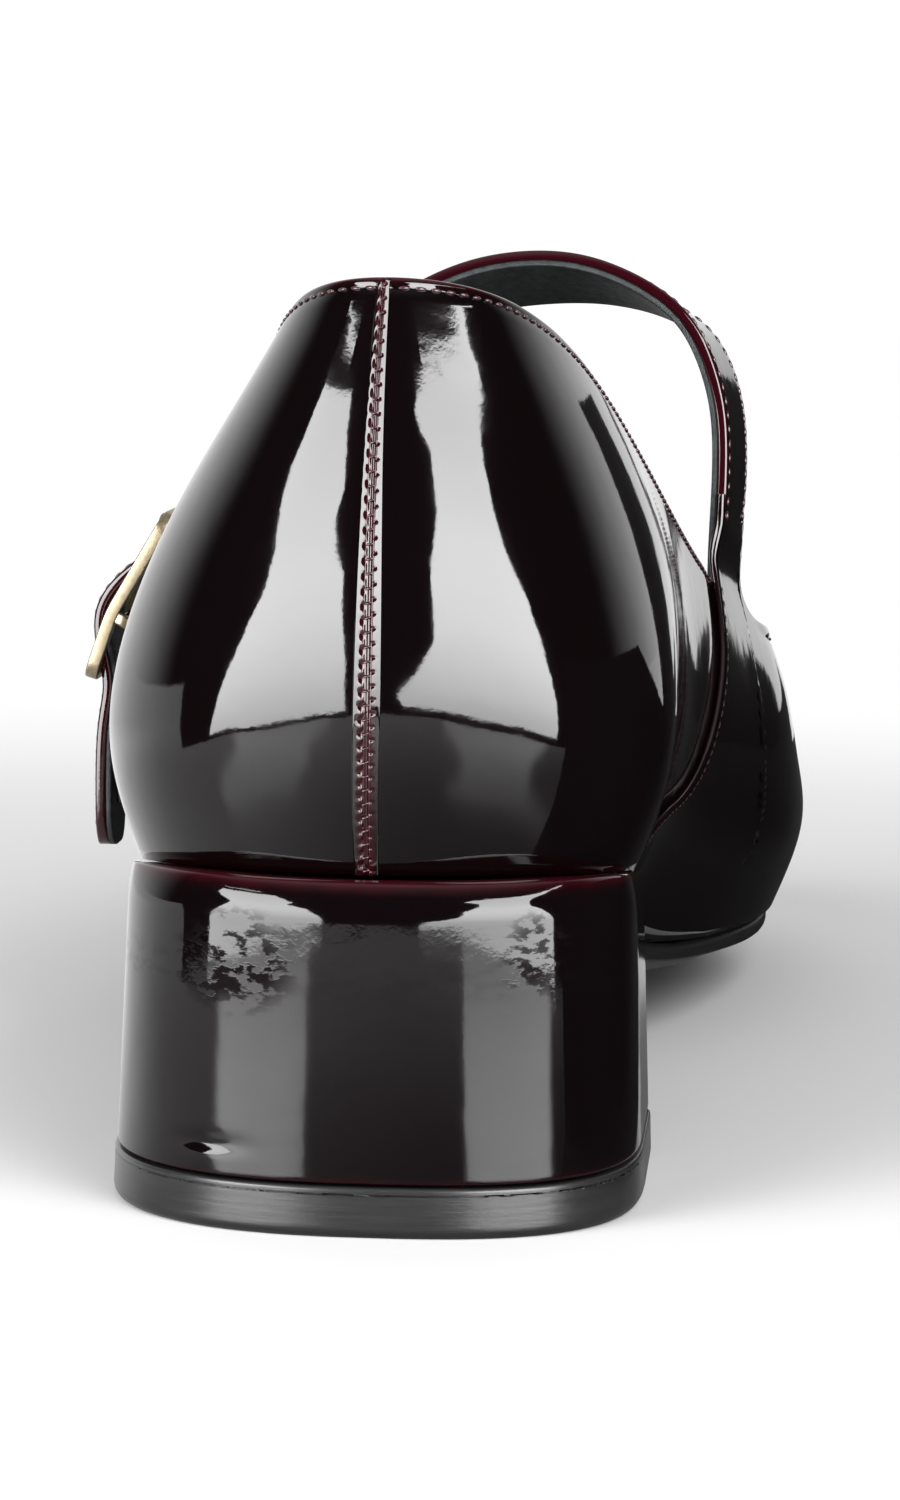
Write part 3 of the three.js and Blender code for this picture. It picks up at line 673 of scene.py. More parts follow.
tail = LAST_ROW - np.array([0.25, 0.18, 0.12, 0.07, 0.035, 0.012, 0])
strap_steps = np.concatenate([np.linspace(1.55, LAST_ROW - 0.3, 260), tail])
strap = band("strap", strap_steps, STRAP_HALF, -0.3 * MM, 1.0 * MM, 0.42 * MM, patent, 1.0, 0.12 * MM)
lining_steps = np.concatenate([np.linspace(0.3, LAST_ROW - 0.3, 240), tail])
strap_lining = band("strap_lining", lining_steps, STRAP_HALF - 0.25 * MM, -1.0 * MM, -0.25 * MM, 0.25 * MM,
                    lining_leather, 0.0)

# %% [markdown]
# ## The bed, the sole and the heel
#
# Under the upper lies a bed: level across the feather edges and sagging a little between them. The
# sock, the outsole and the heel's seat all follow it. They could be cut from blocks with booleans, but
# grids that follow the bed keep even faces and allow an edge that is rounded like trimmed leather.

# %% The bed
HALF_RING = 600
feather = skin(np.linspace(0, AROUND, 2 * HALF_RING + 1), 0.0) - HERE
MEDIAL_RIM, LATERAL_RIM = feather[:HALF_RING + 1], feather[HALF_RING:][::-1]
SAG = np.array([[2, 0], [26, 1.2], [95, 1.6], [130, 2.4], [168, 7.4], [186, 7.2], [236, 0]]) * MM


def rim_at(rim, y, axis):
    return np.interp(y, rim[:, 1], rim[:, axis])


def bed(x, y):
    """Height of the bed's underside at a place measured from the back of the heel."""
    middle = (rim_at(MEDIAL_RIM, y, 0) + rim_at(LATERAL_RIM, y, 0)) / 2
    reach = np.maximum((rim_at(MEDIAL_RIM, y, 0) - rim_at(LATERAL_RIM, y, 0)) / 2, MM)
    off = np.minimum(np.abs(x - middle) / reach, 1.1)
    row = np.clip(np.searchsorted(SAG[:, 0], y) - 1, 0, len(SAG) - 2)
    share = ease(y, SAG[row, 0], SAG[row + 1, 0])
    sag = SAG[row, 1] + share * (SAG[row + 1, 1] - SAG[row, 1])
    return (rim_at(MEDIAL_RIM, y, 2) + rim_at(LATERAL_RIM, y, 2)) / 2 - sag * (1 - off**2)


def bed_grid(inset, start, rows, columns):
    """x, y and distance to the edge on rows across the bed; inset is measured from the feather edge."""
    tangent = unit(np.roll(feather, -1, 0)[:, :2] - np.roll(feather, 1, 0)[:, :2])
    loop = feather[:, :2] + inset * np.stack([-tangent[:, 1], tangent[:, 0]], 1)
    medial, lateral = loop[2:HALF_RING - 1], loop[HALF_RING + 2:-2][::-1]
    begin, end = max(start, loop[2, 1]), loop[HALF_RING - 2, 1]
    y = begin + (end - begin) * (0.5 - 0.5 * np.cos(np.pi * np.linspace(0, 1, rows)))[:, None]
    low, high = (np.interp(y, side[:, 1], side[:, 0]) for side in (lateral, medial))
    f = np.sin(np.linspace(-1, 1, columns) * np.pi / 2)[None, :]
    x = (low + high) / 2 + f * (high - low) / 2
    to_side = (1 - np.abs(f)) * (high - low) / 2
    return x, y * np.ones_like(x), np.minimum(to_side, np.minimum(end - y, np.abs(y - begin) + (start > 0)))


def plate(name, x, y, bottom, top, material):
    """A closed plate between two heights over one grid."""
    points = np.concatenate([np.stack([x, y, top], -1), np.stack([x, y, bottom], -1)]) + HERE
    return make_piece(name, points, shell_faces(*x.shape), material)


GAP = 0.3 * MM
x, y, to_edge = bed_grid(0.9 * MM, 51.2 * MM, 150, 61)
sole_top = bed(x, y) - GAP
thick = (2.3 + 1.0 * ease(to_edge, 0, 12 * MM)) * MM - 0.5 * MM * (1 - bulge(to_edge, 0.6 * MM))
outsole = plate("outsole_visible", x, y, np.maximum(sole_top - thick, 0), sole_top, sole_black)
x, y, to_edge = bed_grid(2.05 * MM, 0, 140, 41)
sock_top = bed(x, y) + (2.0 + 0.5 * bulge(to_edge, 1.2 * MM)) * MM
sock = plate("sock", x, y, bed(x, y), sock_top, lining_leather)

# %% [markdown]
# ## The covered heel
#
# The heel is a block covered in the upper's leather. The leather is pulled over the top in a small
# roll, which is where the glaze is thinnest, and it wrinkles a little on the curve. One outline at
# each height, stacked, gives full control of that roll.

# %% The heel's outline
TIP_TOP = 5.2 * MM
HEEL_HIGH = 36 * MM
BREAST_ROUND = 1.4 * MM


def heel_outline(z, inset):
    """The heel's outline at height z, drawn in by inset, from its medial side by the back."""
    share = z / HEEL_HIGH
    half_wide = (27.8 - 1.4 * share) * MM - inset
    back = (-1.3 - 0.3 * share) * MM + inset
    breast = (47.4 + 3.2 * share) * MM - inset
    widest = 27 * MM
    angle = np.linspace(0, np.pi, 121)
    c, s = np.cos(angle), np.sin(angle)
    power = np.where(c > 0, 2 / 2.75, 2 / 2.35)
    round_back = np.stack([np.sign(c) * np.abs(c) ** power * half_wide,
                           widest - (widest - back) * np.abs(s) ** power], 1)
    flank = np.linspace(widest, breast - BREAST_ROUND, 14)[1:]
    ease_in = 0.35 * MM * (flank - widest) / (breast - widest)
    turn = np.linspace(0, np.pi / 2, 7)[1:]
    corner = np.stack([half_wide - ease_in[-1] - BREAST_ROUND * (1 - np.cos(turn)),
                       breast - BREAST_ROUND * (1 - np.sin(turn))], 1)
    inner = corner[-1, 0]
    k = np.linspace(1, -1, 25)[1:-1]
    dish = np.stack([k * inner, breast - 1.2 * MM * (1 - k**2)], 1)
    right = np.concatenate([np.stack([half_wide - ease_in, flank], 1), corner])
    left = right * [-1, 1]
    return np.concatenate([round_back, left, dish[::-1], right[::-1]])


def stack_outlines(name, outlines, material, **values):
    """A closed solid of outlines of equal length, from the floor upwards."""
    count = outlines.shape[1]
    middle = outlines[[0, -1]].mean(1)
    points = np.concatenate([outlines.reshape(-1, 3), middle]) + HERE
    faces = [face[::-1] for face in grid_faces(len(outlines), count, 0, False, True).tolist()]
    hub_at = outlines.size // 3
    for ring, hub, flip in ((0, hub_at, False), (len(outlines) - 1, hub_at + 1, True)):
        for i in range(count):
            face = [hub, ring * count + i, ring * count + (i + 1) % count]
            faces.append(face[::-1] if flip else face)
    values = {key: np.concatenate([np.ravel(numbers), [0, 0]]) for key, numbers in values.items()}
    return make_piece(name, points, faces, material, **values)


# %% [markdown]
# ## The heel's cover and its rubber tip
#
# Both are stacks of that outline. The cover's top follows the bed, and it draws in towards the top for
# the roll, and it has a small dent low on the left, as from a knock. Its wrinkles where the leather was
# pulled round the curve are painted shade: dark, dull strokes in the shader over a faint bump. The
# tip is a little wider than the cover, with rounded edges. Both differ from the solids they stand for.
# Their back stands further out, by under one millimetre at the floor and by two and a half near the
# top, because it is upright where the solid's leans forward. Their back corners are squarer too, the
# inner one most. Together that puts the cover up to about four millimetres outside its solid.

# %% Cover and tip
BASE = TIP_TOP + GAP
seat = heel_outline(HEEL_HIGH, 0.0)
seat_z = bed(seat[:, 0], np.maximum(seat[:, 1], 2.1 * MM)) - GAP
share = np.concatenate([NEAR[:-3] / (30 * MM), np.linspace(0.05, 0.86, 50), np.linspace(0.875, 0.99, 24),
                        [0.994, 0.997, 1.0]])
ROLL_IN, ROLL_HIGH, FOLD_IN = 1.24 * MM, 3.9 * MM, 0.5 * MM
DENT_X, DENT_Z = -15.4 * MM, 8.8 * MM
cover, worn = [], []
for k in share:
    z = BASE + k * (seat_z - BASE)
    from_top, from_base = seat_z - z, z - BASE
    flat = heel_outline(float(np.mean(z)), 0.0)
    roll = ROLL_IN * (1 - np.clip(from_top / ROLL_HIGH, 0, 1)) ** 2
    roll = roll + FOLD_IN * (1 - bulge(from_top, 0.45 * MM))
    roll = roll * (1 - 0.65 * ease(flat[:, 1], 5 * MM, 17 * MM))
    inset = roll + 0.35 * MM * (1 - bulge(from_base, 0.4 * MM))
    after = np.roll(flat, -1, 0) - np.roll(flat, 1, 0)
    inward = unit(np.stack([-after[:, 1], after[:, 0]], 1))
    sign = np.sign(((flat.mean(0) - flat) * inward).sum(1, keepdims=True))
    off_dent = ((flat[:, 0] - DENT_X) / (3.2 * MM)) ** 2 + ((z - DENT_Z) / (0.8 * MM)) ** 2
    dent = 0.22 * MM * np.exp(-off_dent)
    dent = dent * (flat[:, 1] < 25 * MM)
    drawn = flat + inward * sign * (inset + dent)[:, None]
    cover.append(np.concatenate([drawn, z[:, None]], 1))
    worn.append(np.exp(-from_top / (0.9 * MM)) + 0.55 * np.exp(-from_base / (0.7 * MM)))


def heel_wrinkle_shade(wire):
    """Painted shade in the wrinkles where the cover is pulled round the curve: strongest left and right,
    below the roll.
    """
    place = wire.node("ShaderNodeTexCoord", out="Object")
    split = "ShaderNodeSeparateXYZ"
    x = wire.node(split, None, {0: place}, 0) - float(HERE[0])
    z = wire.node(split, None, {0: place}, 2)
    left = 1 - (((x + 0.0125) / 0.0078) ** 2 + ((z - 0.0275) / 0.0064) ** 2).smooth(0.1, 1.0)
    right = 1 - (((x - 0.0178) / 0.0042) ** 2 + ((z - 0.0288) / 0.0052) ** 2).smooth(0.1, 1.0)
    band = 0.12 * (1 - ((z - 0.0262) * (z - 0.0262) * 160000).smooth(0.1, 1.0))
    grit = noise(wire, 420, 4.0, (1, 1, 2.0), 0.62).smooth(0.48, 0.57)
    return (left + 0.9 * right + band) * grit * 0.95


# the heel's wrinkles are painted shade, mixed in along the crease strokes
heel_patent = patent_leather("heel_patent", heel_wrinkle_shade, 1.48)
heel_cover = stack_outlines("heel_cover", np.array(cover), heel_patent, edge=np.clip(worn, 0, 1))
tip_rows = []
for z in np.concatenate([NEAR[:9], np.linspace(1.8, 4.6, 8) * MM, TIP_TOP - NEAR[6::-1]]):
    inset = -0.2 * MM + 0.9 * MM * (1 - bulge(z, 1.1 * MM)) + 0.25 * MM * (1 - bulge(TIP_TOP - z, 0.3 * MM))
    flat = heel_outline(z, inset)
    tip_rows.append(np.concatenate([flat, np.full((len(flat), 1), z)], 1))
heel_tip = stack_outlines("heel_tip", np.array(tip_rows), tip_rubber)

# %% [markdown]
# ## The buckle
#
# The buckle is a bent oblong of square wire with softened edges, a thin pin across its bend, a prong
# that hooks round the pin and rests on the top bar, and a leather loop that ties the pin to the
# quarter. Swept sections keep the wire even through the corners.

# %% Sweeping a wire
def rounded(corners, radius, steps=6, closed=False):
    """A path through corners, each replaced by a small arc."""
    corners = np.array(corners, float)
    path = []
    for n, here in enumerate(corners):
        if not closed and n in (0, len(corners) - 1):
            path.append(here)
            continue
        before, after = corners[n - 1], corners[(n + 1) % len(corners)]
        a = here + unit(before - here) * min(radius, np.linalg.norm(before - here) * 0.45)
        b = here + unit(after - here) * min(radius, np.linalg.norm(after - here) * 0.45)
        for k in np.linspace(0, 1, steps):
            path.append((1 - k) ** 2 * a + 2 * k * (1 - k) * here + k**2 * b)
    return np.array(path)


def sweep(path, out, shape, closed=False, sizes=None):
    """Points and faces of a section carried along a path; out is the direction of its second axis."""
    ahead = np.roll(path, -1, 0) - np.roll(path, 1, 0)
    if not closed:
        ahead[0], ahead[-1] = path[1] - path[0], path[-1] - path[-2]
    tangent = unit(ahead)
    out = unit(out - tangent * (out * tangent).sum(1, keepdims=True))
    wide = np.cross(out, tangent)
    sizes = np.ones(len(path)) if sizes is None else sizes
    points = (path[:, None] + wide[:, None] * shape[None, :, :1] * sizes[:, None, None]
              + out[:, None] * shape[None, :, 1:] * sizes[:, None, None])
    rows, count = points.shape[:2]
    if closed:
        faces = grid_faces(rows + 1, count, 0, False, True) % (rows * count)
        return points.reshape(-1, 3), faces.tolist()
    return points.reshape(-1, 3), tube_faces(rows, count)


def join(parts):
    """Several point and face lists as one."""
    points, faces, start = [], [], 0
    for some, quads in parts:
        points.append(some)
        faces += [[start + i for i in quad] for quad in quads]
        start += len(some)
    return np.concatenate(points), faces


def circle(radius, count=14):
    angle = np.linspace(0, 2 * np.pi, count, endpoint=False)
    return np.stack([radius * np.cos(angle), radius * np.sin(angle)], 1)


# %% [markdown]
# ## The buckle's own pieces
#
# The wire and its pin are given by four places seen from the side and a half width, so corners stay
# square to each other. The prong tapers at its end, and the leather loop is two narrow tapes that
# follow the quarter, turn round the pin and come back.

# %% Frame, prong and loop
BAR_TOP, PIN_AT, BEND, BAR_END = np.array([[-34.6, 64.6], [-39.1, 52], [-41.2, 53.2], [-43.6, 46]]) * MM
SIDE_Y, MIDDLE_Y = 8 * MM, 112.5 * MM


def at(spot, y):
    """A place on the buckle: spot is [x, height], y is measured from its middle."""
    return HERE + [spot[0], MIDDLE_Y + y, spot[1]]


turns = [at(BAR_TOP, SIDE_Y), at(BEND, SIDE_Y), at(BAR_END, SIDE_Y),
         at(BAR_END, -SIDE_Y), at(BEND, -SIDE_Y), at(BAR_TOP, -SIDE_Y)]
loop_path = rounded(turns, 1.7 * MM, 8, True)
lean = ease(loop_path[:, 2], BAR_END[1] + 3 * MM, BEND[1] + 4 * MM)[:, None]
facing = np.array([-0.95, 0, 0.31]) * (1 - lean) + np.array([-0.855, 0, 0.52]) * lean
wire_section = section(0.8 * MM, -0.78 * MM, 0.78 * MM, 0.22 * MM, 5, 3)
parts = [sweep(loop_path, facing, wire_section, True)]
pin = np.array([at(PIN_AT, k) for k in (-SIDE_Y, 0, SIDE_Y)])
parts.append(sweep(pin, np.array([[1.0, 0, 0]] * 3), circle(0.5 * MM)))
for k in (-SIDE_Y, SIDE_Y):
    spur = np.array([at(BEND, k), at(BEND + (PIN_AT - BEND) * 1.25, k)])
    spur_section = section(0.75 * MM, -0.7 * MM, 0.7 * MM, 0.3 * MM, 4, 3)
    parts.append(sweep(spur, np.array([[0, 1.0, 0]] * 2), spur_section))
points, faces = join(parts)
buckle = make_piece("buckle_wire", points, faces, gold)

rest = BAR_TOP + np.array([-1.55, -0.2]) * MM
direction = unit(rest - PIN_AT)
# distance from the pin, thickness
ROD = np.array([[0.7, 1], [2, 1], [6, 1], [9.6, 1], [11.4, 1], [12.4, 0.9], [13, 0.7], [13.3, 0.3]])
rod = np.array([at(PIN_AT + direction * k, 0) for k in ROD[:, 0] * MM])
hook_angle = np.linspace(0, 2 * np.pi, 20, endpoint=False)
hook = np.array([at(PIN_AT + 1.05 * MM * np.array([np.cos(a), np.sin(a)]), 0) for a in hook_angle])
side_on = np.array([[0, 1.0, 0]])
points, faces = join([
    sweep(rod, np.repeat(side_on, len(rod), 0), circle(0.52 * MM), False, ROD[:, 1]),
    sweep(hook, np.repeat(side_on, len(hook), 0), circle(0.46 * MM), True)])
prong = make_piece("buckle_pin_prong", points, faces, gold)

beside = skin(0.747 * AROUND, np.linspace(0.37, 0.84, 14)) - HERE
climb = np.stack([beside[:, 0] - 0.72 * MM, beside[:, 2]], 1)
eye_angle = np.linspace(-0.15, 0.95, 14) * np.pi
eye = PIN_AT + 1.15 * MM * np.stack([np.cos(eye_angle), np.sin(eye_angle)], 1)
fall = (climb - [0.85 * MM, 0])[::-1][1:]
tape = np.concatenate([climb, eye, fall])
bands = []
for k in (-1, 1):
    path = np.array([at(spot, k * 2.9 * MM) for spot in tape])
    ahead = unit(np.gradient(path, axis=0))
    outwards = np.cross(ahead, [0, -1.0, 0])
    bands.append(sweep(path, outwards, section(1.6 * MM, -0.34 * MM, 0.34 * MM, 0.2 * MM, 4, 4)))
points, faces = join(bands)
tab = make_piece("buckle_tab", points, faces, patent, edge=0.25 * np.ones(len(points)))

# %% [markdown]
# ## Stitches
#
# Stitching is hundreds of equal short threads at an even pitch along a line. Placing copies by hand
# would be slow to change. A Geometry Nodes tree does it: it resamples the line at the pitch, sets a
# small capsule on each point, turned along the line, with a little chance in its angle.

# %% The stitch tree
def stitch_tree():
    tree = bpy.data.node_groups.new("stitch_row", "GeometryNodeTree")
    tree.interface.new_socket("Line", in_out="INPUT", socket_type="NodeSocketGeometry")
    for name, value in (("Pitch", PITCH), ("Length", 0.8), ("Thickness", 0.4 * MM)):
        socket = tree.interface.new_socket(name, in_out="INPUT", socket_type="NodeSocketFloat")
        socket.default_value = value
    tree.interface.new_socket("Thread", in_out="INPUT", socket_type="NodeSocketMaterial")
    tree.interface.new_socket("Stitches", in_out="OUTPUT", socket_type="NodeSocketGeometry")

    def add(kind, settings=None, **links):
        made = tree.nodes.new(kind)
        for key, value in (settings or {}).items():
            setattr(made, key, value)
        for key, value in links.items():
            socket = made.inputs[key.replace("_", " ")]
            if isinstance(value, bpy.types.NodeSocket):
                tree.links.new(value, socket)
            else:
                socket.default_value = value
        return made

    given = add("NodeGroupInput").outputs
    line = add("GeometryNodeMeshToCurve", Mesh=given["Line"]).outputs["Curve"]
    spots = tree.nodes.new("GeometryNodeResampleCurve")
    spots.mode = "LENGTH"
    tree.links.new(line, spots.inputs["Curve"])
    tree.links.new(given["Pitch"], spots.inputs["Length"])
    stored = add("GeometryNodeInputNamedAttribute", {"data_type": "FLOAT_VECTOR"}, Name="lay")
    jitter = add("FunctionNodeRandomValue", {"data_type": "FLOAT_VECTOR"})
    jitter.inputs["Min"].default_value, jitter.inputs["Max"].default_value = (-0.09,) * 3, (0.09,) * 3
    jitter.inputs["Seed"].default_value = 7
    thrown = add("ShaderNodeVectorMath", {"operation": "ADD"})
    tree.links.new(stored.outputs["Attribute"], thrown.inputs[0])
    tree.links.new(jitter.outputs["Value"], thrown.inputs[1])
    turned = add("FunctionNodeAlignRotationToVector", {"axis": "X"}, Vector=thrown.outputs["Vector"])
    capsule = add("GeometryNodeMeshUVSphere", Segments=8, Rings=6, Radius=0.5)
    long = add("ShaderNodeMath", {"operation": "MULTIPLY"})
    tree.links.new(given["Pitch"], long.inputs[0])
    tree.links.new(given["Length"], long.inputs[1])
    size = add("ShaderNodeCombineXYZ", X=long.outputs["Value"], Y=given["Thickness"], Z=given["Thickness"])
    placed = add("GeometryNodeInstanceOnPoints", Points=spots.outputs["Curve"],
                 Instance=capsule.outputs["Mesh"], Rotation=turned.outputs["Rotation"],
                 Scale=size.outputs["Vector"])
    real = add("GeometryNodeRealizeInstances", Geometry=placed.outputs["Instances"])
    smooth = add("GeometryNodeSetShadeSmooth", Geometry=real.outputs["Geometry"])
    dressed = add("GeometryNodeSetMaterial", Geometry=smooth.outputs["Geometry"], Material=given["Thread"])
    add("NodeGroupOutput", Stitches=dressed.outputs["Geometry"])
    return tree


stitching = stitch_tree()


def stitch(name, line, pitch, length, thickness, lay=None):
    """A row of stitches on a line of points; lay turns each one another way than along the line."""
    lay = unit(np.gradient(line, axis=0)) if lay is None else lay
    mesh = bpy.data.meshes.new(name)
    mesh.from_pydata(line.tolist(), [(n, n + 1) for n in range(len(line) - 1)], [])
    attribute = mesh.attributes.new("lay", "FLOAT_VECTOR", "POINT")
    attribute.data.foreach_set("vector", lay.ravel().astype(np.float32))
    guide = bpy.data.objects.new(name + "_line", mesh)
    bpy.context.scene.collection.objects.link(guide)
    modifier = guide.modifiers.new("stitches", "NODES")
    modifier.node_group = stitching
    items = stitching.interface.items_tree
    sockets = {item.name: item.identifier for item in items if item.in_out == "INPUT"}
    for key, value in (("Pitch", pitch), ("Length", length), ("Thickness", thickness), ("Thread", thread)):
        modifier[sockets[key]] = value
    seen = guide.evaluated_get(bpy.context.evaluated_depsgraph_get())
    result = bpy.data.meshes.new_from_object(seen)
    bpy.data.objects.remove(guide)
    result.name = name
    piece = bpy.data.objects.new(name, result)
    bpy.context.scene.collection.objects.link(piece)
    print(f"{name}: {len(result.polygons)} faces")
    return piece


# %% [markdown]
# ## Every row of stitches
#
# The rows run round the collar and the throat, down both edges of the strap, along both laps, and down
# the back seam, where the thread crosses the furrow. Each row is one line of points on the leather,
# and the tree above does the rest.

# %% Every row of stitches
def topline_row(first, last, depth, offset):
    """A line on the last, depth below the topline, from station first to last."""
    u = np.linspace(first, last, 400)
    v = 1 - depth / wall_height(u)
    return skin(u, v) + outward(u, v) * offset


def strap_row(first, last, across):
    t = np.linspace(first, last, 500)
    middle, _, wide, out = strap_frame(t)
    return middle + wide * across + out * 0.94 * MM


def lap_row(mirror):
    v = np.linspace(0.03, 0.97, 200)
    u = lap_at(v) + 1.3 * MM / STATION
    u = AROUND - u if mirror else u
    return skin(u, v) + outward(u, v) * 0.42 * MM


STITCH = dict(pitch=1.7 * MM, length=0.72, thickness=0.42 * MM)
LAP_STITCH = dict(pitch=1.7 * MM, length=0.66, thickness=0.24 * MM)
ROW_ACROSS = 4.8 * MM
stitches = [
    stitch("stitches_collar", topline_row(-5.3, 5.3, TOP_ROW, -0.02 * MM), **STITCH),
    stitch("stitches_throat", topline_row(7.4, 18.3, THROAT_ROW, 0.06 * MM), **STITCH),
    stitch("stitches_strap_front", strap_row(1.7, LAST_ROW - 0.2, ROW_ACROSS), **STITCH),
    stitch("stitches_strap_rear", strap_row(1.7, LAST_ROW - 0.2, -ROW_ACROSS), **STITCH),
    stitch("stitches_lap_inner", lap_row(False), **LAP_STITCH),
    stitch("stitches_lap_outer", lap_row(True), **LAP_STITCH),
]
v = np.linspace(0.01, 0.985, 400)
furrow_line = skin(seam_at(v), v) + outward(seam_at(v), v) * 0.16 * MM
sideways = np.repeat([[1.0, 0, 0.35]], len(v), 0)
stitches.append(stitch("stitches_back_seam", furrow_line, PITCH, 0.62, 0.26 * MM, sideways))

# %% [markdown]
# ## Floor and light
#
# Patent leather is a mirror: what it shows is the studio. Each pale band on the heel is one sheet that
# glows, hung behind the viewer, whose outline decides the outline of the band. The sheets are seen by
# reflections only, and two lamps that reflections don't see light the rest softly. The floor is laid
# twice at one height: a matt one to look at, and one that only reflections see, which ends in an arc
# behind the heel, so the bands run down to a crisp lower end. That second floor glows as painted light,
# and it is dimmed to painted shade on the inner side, where the pair's other shoe would stand.

# %% The floor
FLOOR_ENDS = 3
GLOSS_REACH = 0.198
UNSEEN = ["camera", "diffuse", "shadow"]


def floor_part(name, corners, constants, unseen_by):
    """A flat floor with the given corners, left out of the given kinds of rays."""
    mesh = bpy.data.meshes.new(name)
    mesh.from_pydata([(x, y, 0) for x, y in corners], [], [list(range(len(corners)))])
    material, shader, wire = new_material(name, constants)
    mottle = noise(wire, 3, 2.0)
    feed(shader, base_color=mottle.blend((0.84, 0.84, 0.84, 1), (0.88, 0.88, 0.88, 1)))
    place = wire.node("ShaderNodeTexCoord", out="Object")
    # the floor that only reflections see glows as painted light, dimmed to painted shade on the inner side
    # (positive x)
    if "Emission Strength" in constants:
        aside = 0 - wire.node("ShaderNodeSeparateXYZ", None, {0: place}, 0)
        feed(shader, emission_color=aside.smooth(-0.02, 0.08).blend((0.1, 0.1, 0.1, 1), (1, 1, 1, 1)))
    away = wire.node("ShaderNodeVectorMath", {"operation": "LENGTH"}, {0: place}, 1)
    white = wire.node("ShaderNodeEmission", None, {"Strength": 1.0})
    mixed = wire.node("ShaderNodeMixShader", None,
                      {0: away.smooth(0.13, 0.42), 1: Wire(wire.tree, shader.outputs[0]), 2: white})
    surface = material.node_tree.nodes["Material Output"].inputs["Surface"]
    material.node_tree.links.new(mixed.socket, surface)
    mesh.materials.append(material)
    part = bpy.data.objects.new(name, mesh)
    bpy.context.scene.collection.objects.link(part)
    for ray in unseen_by:
        setattr(part, "visible_" + ray, False)


ends = np.array([[-1, -1], [1, -1], [1, 1], [-1, 1]]) * FLOOR_ENDS
floor_part("floor", ends, {"Roughness": 0.95, "Specular IOR Level": 0.0}, ["glossy"])
sweep_angle = np.linspace(-np.pi, 0, 49)
arc = HERE[:2] + GLOSS_REACH * np.stack([np.cos(sweep_angle), np.sin(sweep_angle)], 1)
beyond = [[FLOOR_ENDS, HERE[1]], [FLOOR_ENDS, FLOOR_ENDS], [-FLOOR_ENDS, FLOOR_ENDS], [-FLOOR_ENDS, HERE[1]]]
# this floor's glow is painted light; its inner side is painted shade
glossy_floor = {"Roughness": 0.17, "Specular IOR Level": 0.35, "Emission Strength": 0.6}
floor_part("floor_gloss", [*arc, *beyond], glossy_floor, UNSEEN)

# %% [markdown]
# ## The studio's sheets, flags and lamps
#
# A sheet is a short table: how high, from where to where, how bright. Two black flags, also seen only
# by reflections, stand where the other shoe of the pair would, and darken the inner side: they are a
# painted reflection of that shoe, and the flag's strip lying on the floor is painted shade between the
# two shoes. A plain room with square lights would do for matt leather, but on patent it would draw the
# wrong bands.

# %% The studio
HEEL_EYE = Vector(HERE) + Vector((0, 0, 0.051))
SHEET_FAR = 0.9


def towards(across, up):
    """The direction that lies so many degrees towards the shoe's inner side, and so many degrees up."""
    across, up = np.radians(across), np.radians(up)
    flat = np.cos(up) * np.ones_like(across)
    return np.stack([np.sin(across) * flat, -np.cos(across) * flat, np.sin(up) * np.ones_like(across)], -1)


def softbox(name, rows):
    """A glowing sheet that only reflections see. Each row gives its height, where it starts and ends
    (degrees, from straight behind the shoe towards its inner side) and how bright it is."""
    rows = np.array(rows, float)
    share = np.linspace(0, 1, 13)[None, :]
    across = rows[:, 1:2] + (rows[:, 2:3] - rows[:, 1:2]) * share
    points = np.array(HEEL_EYE) + SHEET_FAR * towards(across, rows[:, :1] * np.ones_like(share))
    material, shader, wire = new_material(name, {"Base Color": (0, 0, 0, 1), "Emission Strength": 1.0})
    feed(shader, emission_color=wire.node("ShaderNodeAttribute", {"attribute_name": "glow"}, out="Fac"))
    glow = rows[:, 3:4] * np.ones_like(share)
    sheet = make_piece(name, points, grid_faces(*across.shape), material, glow=glow)
    for ray in [*UNSEEN, "transmission", "volume_scatter"]:
        setattr(sheet, "visible_" + ray, False)


def dark_flag(name, rows):
    """A black panel that only reflections see, with three points to a row, for painted dark reflections and
    shade.
    """
    black = new_material(name, {"Base Color": (0.002, 0.002, 0.002, 1), "Roughness": 1.0})[0]
    panel = make_piece(name, np.array(rows) + HERE, grid_faces(len(rows), 3), black)
    for ray in UNSEEN:
        setattr(panel, "visible_" + ray, False)


def lamp(name, across, up, distance, size, watts):
    """A soft light for the floor and the matt parts; reflections see the glowing sheets instead."""
    light = bpy.data.lights.new(name, "AREA")
    light.size, light.energy = size, watts
    place = bpy.data.objects.new(name, light)
    ray = Vector(towards(np.array(across), np.array(up)))
    place.location = HEEL_EYE + ray * distance
    place.rotation_euler = (-ray).to_track_quat("-Z", "Z").to_euler()
    place.visible_camera = place.visible_glossy = False
    bpy.context.scene.collection.objects.link(place)
    print(f"{name}: {watts} W at {distance} m")


# degrees up, from, to; brightness
softbox("softbox_left_top", [[29.85, -46, -58, 13], [30.15, -46, -70, 13], [30.5, -46, -70, 13]])
softbox("softbox_left", [
    [-13.6, -14, -72, 8.5], [-9, -15, -70, 10], [-3.5, -15.5, -67, 12], [4.4, -19, -62, 14],
    [9, -20, -59, 14.5], [12, -25, -57.5, 14.5], [15.2, -29, -60, 14], [18.7, -27, -66, 13.5],
    [22.4, -31, -70, 13], [27.2, -37, -69, 12.5]])
softbox("softbox_right", [
    [-12.7, 7, 77, 8], [-10.6, 4, 78, 8.5], [-6.6, 11.6, 78, 10.5], [0, 20, 76, 13], [5, 21.6, 73, 14.5],
    [10, 22, 70, 15], [15, 27, 64, 15], [18.5, 30, 63, 14], [23.4, 30.5, 65, 13], [26.3, 23, 70, 12.5],
    [28.6, 27, 84, 12.5], [29.6, 56, 86, 13], [30.1, 36, 102, 13], [30.8, 34, 104, 13]])
